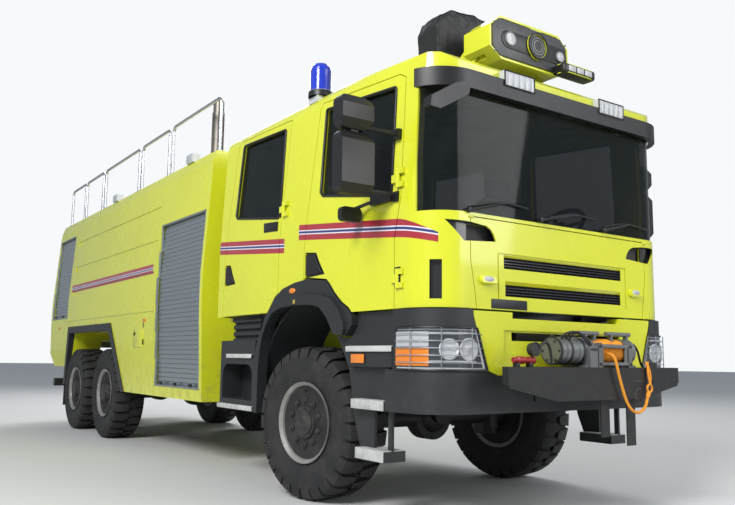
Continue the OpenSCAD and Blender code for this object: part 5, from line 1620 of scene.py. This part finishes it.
    @staticmethod
    def tray(steel: Form, black: Form, red: Form) -> None:
        """Red coupling, lamp, lever and shackle on the tray.

        Args:
            steel: the form of the bare metal pieces.
            black: the form of the lever.
            red: the form of the coupling.
        """
        coupling = [(0.0, 0.0), (0.0, 0.018), (0.03, 0.018), (0.034, 0.024), (0.085, 0.024), (0.089, 0.019),
                    (0.13, 0.019), (0.134, 0.023), (0.182, 0.023), (0.182, 0.0)]
        red.lathe((-0.743, -1.80, 1.066), ACROSS, coupling, 28)
        foot = TRAY_Z - 0.001
        for x in (-0.715, -0.60):
            steel.box((x - 0.012, -1.822, foot), (x + 0.012, -1.778, 1.05), 0.003)
        lamp = [(-0.05, 0.0), (-0.05, 0.02), (-0.035, 0.04), (0.0, 0.045), (0.012, 0.045), (0.012, 0.039),
                (0.004, 0.036), (0.008, 0.0)]
        steel.lathe((-0.585, -1.835, 1.135), AHEAD, lamp, 32)
        steel.rod((-0.585, -1.81, foot), (-0.585, -1.81, 1.10), 0.008)
        lever = [(-0.431, -1.83, 1.04), (-0.431, -1.83, 1.088), (-0.477, -1.835, 1.177),
                 (-0.548, -1.835, 1.159)]
        black.tube(lever, 0.009, 3)
        bow = arc((0.40, 0.878 - 0.042), 0.042, 240.0, -60.0, 10)
        steel.tube([(x, -1.874, z) for x, z in bow], 0.009, 3)
        steel.rod((0.352, -1.874, 0.93), (0.448, -1.874, 0.93), 0.010, 20, 0.002)

    def fittings(self) -> None:
        """Pieces of the housing and of the tray."""
        black, steel, red = Form(), Form(), Form()
        self.housing(steel, black)
        self.tray(steel, black, red)
        black.piece("winch_cables", "chassis", Finish.SATIN_BLACK, 50.0)
        steel.piece("winch_fittings", "chassis", Finish.CAST_STEEL)
        red.piece("tray_coupling", "chassis", Finish.RED_PAINT)

    def build(self) -> None:
        """Makes the winch's pieces."""
        self.rope()
        self.fittings()


@dataclass
class SoftGoods:
    """Turret cover, seats and the steering wheel's rim."""

    driver_x: float = 0.64
    floor_z: float = 1.45
    columns: int = 150
    rows: int = 64
    front_y: float = -0.912
    foot_z: float = 3.229
    front_share: float = 0.62
    cloth: float = 0.0035
    flat_width: float = 1.9

    # Arch of the cover seen from ahead, as (x, z), from its right foot to its left
    ARCH = ((-0.585, 3.229), (-0.600, 3.640), (-0.560, 3.740), (-0.440, 3.810), (-0.200, 3.835),
            (0.100, 3.812), (0.380, 3.730), (0.480, 3.640), (0.500, 3.229))
    # Centre, half sizes, tilt and seams of the pads of a front seat and of a place on the bench, at x = 0
    FRONT_PADS = (((0.0, -0.65, 1.813), (0.25, 0.24, 0.07), 0.0, 0.55),
                  ((0.0, -0.355, 2.185), (0.235, 0.325, 0.062), 79.5, 0.55),
                  ((0.0, -0.28, 2.595), (0.13, 0.088, 0.042), 82.0, 0.8))
    BENCH_PADS = (((0.0, 1.15, 1.828), (0.243, 0.245, 0.062), 0.0, 0.55),
                  ((0.0, 1.435, 2.15), (0.24, 0.262, 0.052), 85.0, 0.55),
                  ((0.0, 1.468, 2.465), (0.13, 0.066, 0.04), 85.0, 0.8))

    def arch_points(self) -> List[Vector]:
        """Evenly spaced points along the cover's arch, one for each column and one more.

        Returns:
            The points as (x, z), from the right foot to the left.
        """
        points = [Vector(p) for p in self.ARCH]
        marks = [0.0]
        for a, b in zip(points, points[1:]):
            marks.append(marks[-1] + (b - a).length)
        spots = []
        for i in range(self.columns + 1):
            s = i / self.columns * marks[-1]
            leg = next(k for k in range(1, len(marks)) if s <= marks[k] + 1e-9)
            share = (s - marks[leg - 1]) / (marks[leg] - marks[leg - 1])
            spots.append(points[leg - 1].lerp(points[leg], share))
        return spots

    def crease(self, u: float, v: float, at: Vector) -> Point:
        """Point of the cover's outer face, with its folds and creases.

        Args:
            u: share of the way along the arch.
            v: share of the way from the front's middle, over the edge and back.
            at: the point of the arch.

        Returns:
            The point, given from the front axle.
        """
        front = min(1.0, v / self.front_share)
        over = max(0.0, v - self.front_share) / (1.0 - self.front_share)
        reach = 0.12 + 0.88 * math.sin(front * math.pi / 2) ** 0.9
        mid = Vector((-0.05, 3.30))
        spot = Vector((mid.x, 3.232)).lerp(at, reach)
        y = self.front_y + 0.035 * front ** 6 + 0.235 * over
        fold = math.sin(26 * u + 3 * math.sin(2.5 * v + 5 * u)) * (0.3 + 0.7 * v)
        here = Vector((spot.x, y, spot.y))
        crease = noise.noise(here * 7.0) + 0.5 * noise.noise(here * 19.0)
        sag = (0.007 * fold + 0.014 * crease) * min(1.0, 2.5 * v)
        if v <= self.front_share:
            y += 0.022 - abs(sag) * 1.1 + 0.02 * (1 - front)
        low = min(1.0, (spot.y - self.foot_z) / 0.05)
        spot -= (at - mid).normalized() * (0.016 - sag * 0.7) * front * low
        return spot.x, y, max(spot.y, self.foot_z)

    def cover(self) -> None:
        """Creased sheet drawn over the turret's housing."""
        columns, rows = self.columns, self.rows
        arch = self.arch_points()
        part = bmesh.new()
        outer = [[part.verts.new(place(*self.crease(i / columns, j / rows, at))) for i, at in enumerate(arch)]
                 for j in range(rows + 1)]
        cells = [(i, j) for j in range(rows) for i in range(columns)]
        for i, j in cells:
            part.faces.new((outer[j][i], outer[j][i + 1], outer[j + 1][i + 1], outer[j + 1][i]))
        area = sum(f.calc_area() for f in part.faces)
        part.normal_update()
        inner = [[part.verts.new(v.co - v.normal * self.cloth) for v in line] for line in outer]
        for i, j in cells:
            part.faces.new((inner[j][i], inner[j + 1][i], inner[j + 1][i + 1], inner[j][i + 1]))
        for j in range(rows):
            for i in (0, columns):
                part.faces.new((outer[j][i], outer[j + 1][i], inner[j + 1][i], inner[j][i]))
        for i in range(columns):
            for j in (0, rows):
                part.faces.new((outer[j][i], outer[j][i + 1], inner[j][i + 1], inner[j][i]))
        made = Form().add(part).piece("turret_wrap", "turret_pan", Finish.COVER_CLOTH, 80.0, "black_cloth")
        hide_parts("turret_cover")
        LOG.info("cover: %.3f square metres", area)
        flat = (self.flat_width, area / self.flat_width * 1.04)

    @staticmethod
    def pad(form: Form, centre: Point, half: Point, tilt: float, seams: float) -> None:
        """Adds a stuffed pad with two stitched seams.

        Args:
            form: the form that gets it.
            centre: its middle.
            half: half its sizes before tilting; its face is up.
            tilt: turn about X, in degrees.
            seams: where the seams run, as a share of its half width.
        """
        part = bmesh.new()
        bmesh.ops.create_cube(part, size=2.0)
        bmesh.ops.subdivide_edges(part, edges=list(part.edges), cuts=23, use_grid_fill=True)
        turn = Matrix.Translation(place(*centre)) @ Matrix.Rotation(math.radians(tilt), 4, "X")
        for vert in part.verts:
            u, v, w = vert.co
            uu, vv, ww = u * u, v * v, w * w
            ball = Vector((u * math.sqrt(1 - vv / 2 - ww / 2 + vv * ww / 3),
                           v * math.sqrt(1 - uu / 2 - ww / 2 + uu * ww / 3),
                           w * math.sqrt(1 - vv / 2 - uu / 2 + vv * uu / 3)))
            p = Vector((u, v, w)).lerp(ball, 0.2)
            seam = math.exp(-((abs(u) - seams) / 0.05) ** 2)
            welt = 0.8 * math.exp(-((w + 0.1) / 0.12) ** 2) * max(abs(u), abs(v)) ** 20
            size = Vector((half[0] * p.x, half[1] * p.y, half[2] * p.z))
            rough = noise.noise(Vector((size.x * 30 + centre[0] * 9, size.y * 30, size.z * 30)))
            if size.length > 0.01:
                upright = abs(w) > 0.9
                way = Vector((0.0, 0.0, w)) if upright else Vector((u, v, 0.0))
                size -= way.normalized() * (0.008 * (seam + welt) + 0.002 * rough)
            vert.co = turn @ size
        form.add(part)

    def seats(self) -> None:
        """Front seats and the rear bench."""
        front, bench, base = Form(), Form(), Form()
        for x in (side * self.driver_x for side in SIDES):
            for (_, y, z), half, tilt, seams in self.FRONT_PADS:
                self.pad(front, (x, y, z), half, tilt, seams)
            base.box((x - 0.16, -0.84, 1.452), (x + 0.16, -0.46, 1.60), 0.02, 3)
            base.box((x - 0.13, -0.81, 1.59), (x + 0.13, -0.49, 1.75), 0.015, 3)
            base.rod((x + 0.21, -0.84, 1.79), (x + 0.21, -0.47, 1.79), 0.014)
        for x in (-0.75, -0.25, 0.25, 0.75):
            for (_, y, z), half, tilt, seams in self.BENCH_PADS:
                self.pad(bench, (x, y, z), half, tilt, seams)
        base.box((-0.978, 0.952, 1.452), (0.978, 1.328, 1.768), 0.02, 3)
        cushions = front.piece("front_seat_pads", "chassis", Finish.SEAT_CLOTH, 70.0, "seat_cloth")
        made = bench.piece("bench_pads", "chassis", Finish.SEAT_CLOTH, 70.0, "seat_cloth")
        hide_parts("cab_seats")
        base.piece("seat_bases", "chassis", Finish.DASH)

    def wheel_rim(self) -> None:
        """Padded rim of the steering wheel."""
        hub = Matrix.Translation(place(self.driver_x, -1.0, self.floor_z + 0.7))
        tilt = hub @ Matrix.Rotation(math.radians(-35.0), 4, "X") @ FROM_AXLE
        form = Form().tube([(x, y, 0.0) for x, y in ring(48, 0.214)], 0.0185, 4, closed=True, smooth=False)
        boss = [(0.0, 0.0), (0.0, 0.052), (0.006, 0.05), (0.012, 0.035), (0.014, 0.0)]
        form.lathe((0.0, 0.0, 0.018), UP, boss)
        form.repeated((tilt,)).piece("wheel_rim_cover", "chassis", Finish.SATIN_BLACK, 60.0)

    def build(self) -> None:
        """Makes the soft pieces."""
        self.cover()
        self.seats()
        self.wheel_rim()


@dataclass
class TurretTrim:
    """Face, nozzle and lamps of the monitor's head."""

    face_y: float = -1.306
    nozzle: Flat = (0.06, 3.47)

    # Outline of the face, as (x, z)
    FACE = ((-0.400, 3.37), (-0.335, 3.312), (0.335, 3.312), (0.400, 3.37), (0.400, 3.545), (0.335, 3.605),
            (-0.335, 3.605), (-0.400, 3.545))
    # Lamps of the face, as (x, z, radius)
    LAMPS = ((-0.23, 3.46, 0.052), (0.32, 3.45, 0.042))

    def nozzle_rings(self, dark: Form, steel: Form) -> None:
        """Collar, rings and vanes of the nozzle.

        Args:
            dark: the form of the black pieces.
            steel: the form of the grey pieces.
        """
        x, z = self.nozzle
        collar = [(0.0, 0.108), (0.012, 0.108), (0.014, 0.104), (0.014, 0.092), (-0.02, 0.088)]
        dark.lathe((x, -1.325, z), AHEAD, collar)
        for r in (0.072, 0.05):
            steel.lathe((x, self.face_y, z), AHEAD,
                        [(0.0, r), (0.022, r), (0.024, r - 0.003), (0.024, r - 0.009), (0.0, r - 0.011)], 40)
        for (x0, z0), (x1, z1) in zip(ring(6, 0.03), ring(6, 0.07)):
            steel.rod((x + x0, -1.318, z + z0), (x + x1, -1.318, z + z1), 0.004, 8)

    def build(self) -> None:
        """Makes the head's pieces."""
        dark, steel, glass = Form(), Form(), Form()
        face = Form().prism(Axis.Y, self.FACE, -1.3075, -1.297, 0.005, 3)
        face.piece("monitor_plate", "turret_tilt", Finish.GREY_FACE)
        outline = arc((-0.25, 3.455), 0.07, 90, 270, 8) + arc((0.33, 3.455), 0.07, -90, 90, 8)
        dark.prism(Axis.Y, outline, -1.3135, -1.305, 0.004)
        self.nozzle_rings(dark, steel)
        for x, z, r in self.LAMPS:
            bowl = [(0.0, r + 0.004), (0.016, r + 0.004), (0.018, r), (0.012, r - 0.006), (0.006, 0.012),
                    (0.008, 0.0)]
            lens = [(0.0, 0.0), (0.0, r - 0.004), (0.003, r - 0.006), (0.006, 0.0)]
            steel.lathe((x, -1.308, z), AHEAD, bowl, 36)
            glass.lathe((x, -1.320, z), AHEAD, lens, 32)
        for x in (0.325, 0.42, 0.515):
            glass.box((x - 0.04, -1.4385, 3.297), (x + 0.04, -1.43, 3.343), 0.004, 3)
        dark.box((0.2365, -1.434, 3.2805), (0.6035, self.face_y, 3.3595), 0.02, 4)
        for x in (-0.38, 0.40):
            for z in (3.34, 3.57):
                steel.rod((x, -1.298, z), (x, self.face_y, z), 0.010, 6, 0.001)
        dark.piece("monitor_face", "turret_tilt", Finish.SATIN_BLACK)
        steel.piece("monitor_rings", "turret_tilt", Finish.GREY_PAINT)
        glass.piece("monitor_lenses", "turret_tilt", Finish.REFLECTOR)


@dataclass
class BodyTrim:
    """Shutter frames and latches, lamps and filler door of the body."""

    foot_z: float = 0.622
    foot_half: float = 1.212
    low_lean: float = 0.038 / 0.938
    belt_low: float = 1.56
    belt_high: float = 1.9
    half: float = 1.25
    high_lean: float = 0.068 / 1.15

    # Front, rear, low and high edge of each shutter, and its number of latches
    SHUTTERS = ((1.99, 3.24, 0.74, 2.54, 3), (7.15, 8.08, 1.62, 2.905, 2))
    FRAME_STEPS = 6

    def wall(self, z: float) -> float:
        """Half width of the body at a height, which leans in below and above its belt.

        Args:
            z: the height.

        Returns:
            The half width.
        """
        if z < self.belt_low:
            return self.foot_half + (z - self.foot_z) * self.low_lean
        return self.half - max(0.0, z - self.belt_high) * self.high_lean

    def shutters(self) -> None:
        """Frames, foot bars and latches of the shutters."""
        frame, latch = Form(), Form()
        for front, rear, low, high, latches in self.SHUTTERS:
            levels = [low + (high - low) * k / self.FRAME_STEPS for k in range(self.FRAME_STEPS + 1)]
            for y in (front - 0.004, rear - 0.012):
                for z0, z1 in zip(levels, levels[1:]):
                    x = min(self.wall(z0), self.wall(z1))
                    frame.box((x - 0.02, y, z0), (x + 0.003, y + 0.016, z1), 0.0015, 1)
            x, top = self.wall(low), self.wall(high)
            frame.box((x - 0.02, front, low - 0.004), (x + 0.006, rear, low + 0.016), 0.004)
            frame.box((top - 0.02, front, high - 0.012), (top + 0.003, rear, high + 0.004), 0.0015)
            for k in range(latches):
                y = front + (rear - front) * (k + 0.5) / latches
                latch.box((x - 0.004, y - 0.035, low + 0.016), (x + 0.016, y + 0.035, low + 0.046), 0.005, 3)
                latch.rod((x + 0.012, y - 0.028, low + 0.031), (x + 0.012, y + 0.028, low + 0.031), 0.007)
        frame.both_sides().piece("shutter_frames", "chassis", Finish.SHUTTER)
        latch.both_sides().piece("shutter_latches", "chassis", Finish.SATIN_BLACK)

    def lamps(self) -> None:
        """Glass of the work lamps, and side markers."""
        clear, amber = Form(), Form()
        for y in (2.61, 5.28):
            corners = [(y - 0.075, 3.176), (y + 0.075, 3.176), (y + 0.075, 3.240), (y - 0.075, 3.240)]
            clear.prism(Axis.X, corners, 1.172, 1.1785, 0.003)
        x = self.wall(1.47)
        for y in (3.6, 5.55, 7.6):
            amber.box((x - 0.004, y - 0.05, 1.455), (x + 0.008, y + 0.05, 1.49), 0.005, 3)
        clear.both_sides().piece("work_lamp_glass", "chassis", Finish.REFLECTOR)
        amber.both_sides().piece("body_markers", "chassis", Finish.AMBER_LENS)

    def filler(self) -> None:
        """Filler door with its hinges and catch on the body's right."""
        form, catch = Form(), Form()
        x = self.wall(1.3)
        corners = [(3.62, 1.16), (3.98, 1.16), (3.98, 1.48), (3.62, 1.48)]
        form.prism(Axis.X, corners, x - 0.006, x + 0.003, 0.003)
        knob = [(0.0, 0.0), (0.0, 0.022), (0.006, 0.022), (0.009, 0.016), (0.009, 0.0)]
        catch.lathe((x + 0.002, 3.94, 1.32), ACROSS, knob)
        for z in (1.22, 1.42):
            catch.rod((x + 0.003, 3.625, z - 0.03), (x + 0.003, 3.625, z + 0.03), 0.008)
        form.on_side(-1.0).piece("filler_door", "chassis", Finish.LIVERY)
        catch.on_side(-1.0).piece("filler_catch", "chassis", Finish.SATIN_BLACK)

    def build(self) -> None:
        """Makes the body's trim."""
        self.shutters()
        self.lamps()
        self.filler()


def main() -> None:
    """Builds the whole scene in order."""
    logging.basicConfig(level=logging.INFO, format="%(name)s %(message)s")
    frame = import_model()
    Studio().build()
    WinchGear().build()
    CadDress().build(frame)
    SoftGoods().build()
    Wheels().build()
    CabTrim().build()
    TurretTrim().build()
    BodyTrim().build()


if __name__ == "__main__":
    main()
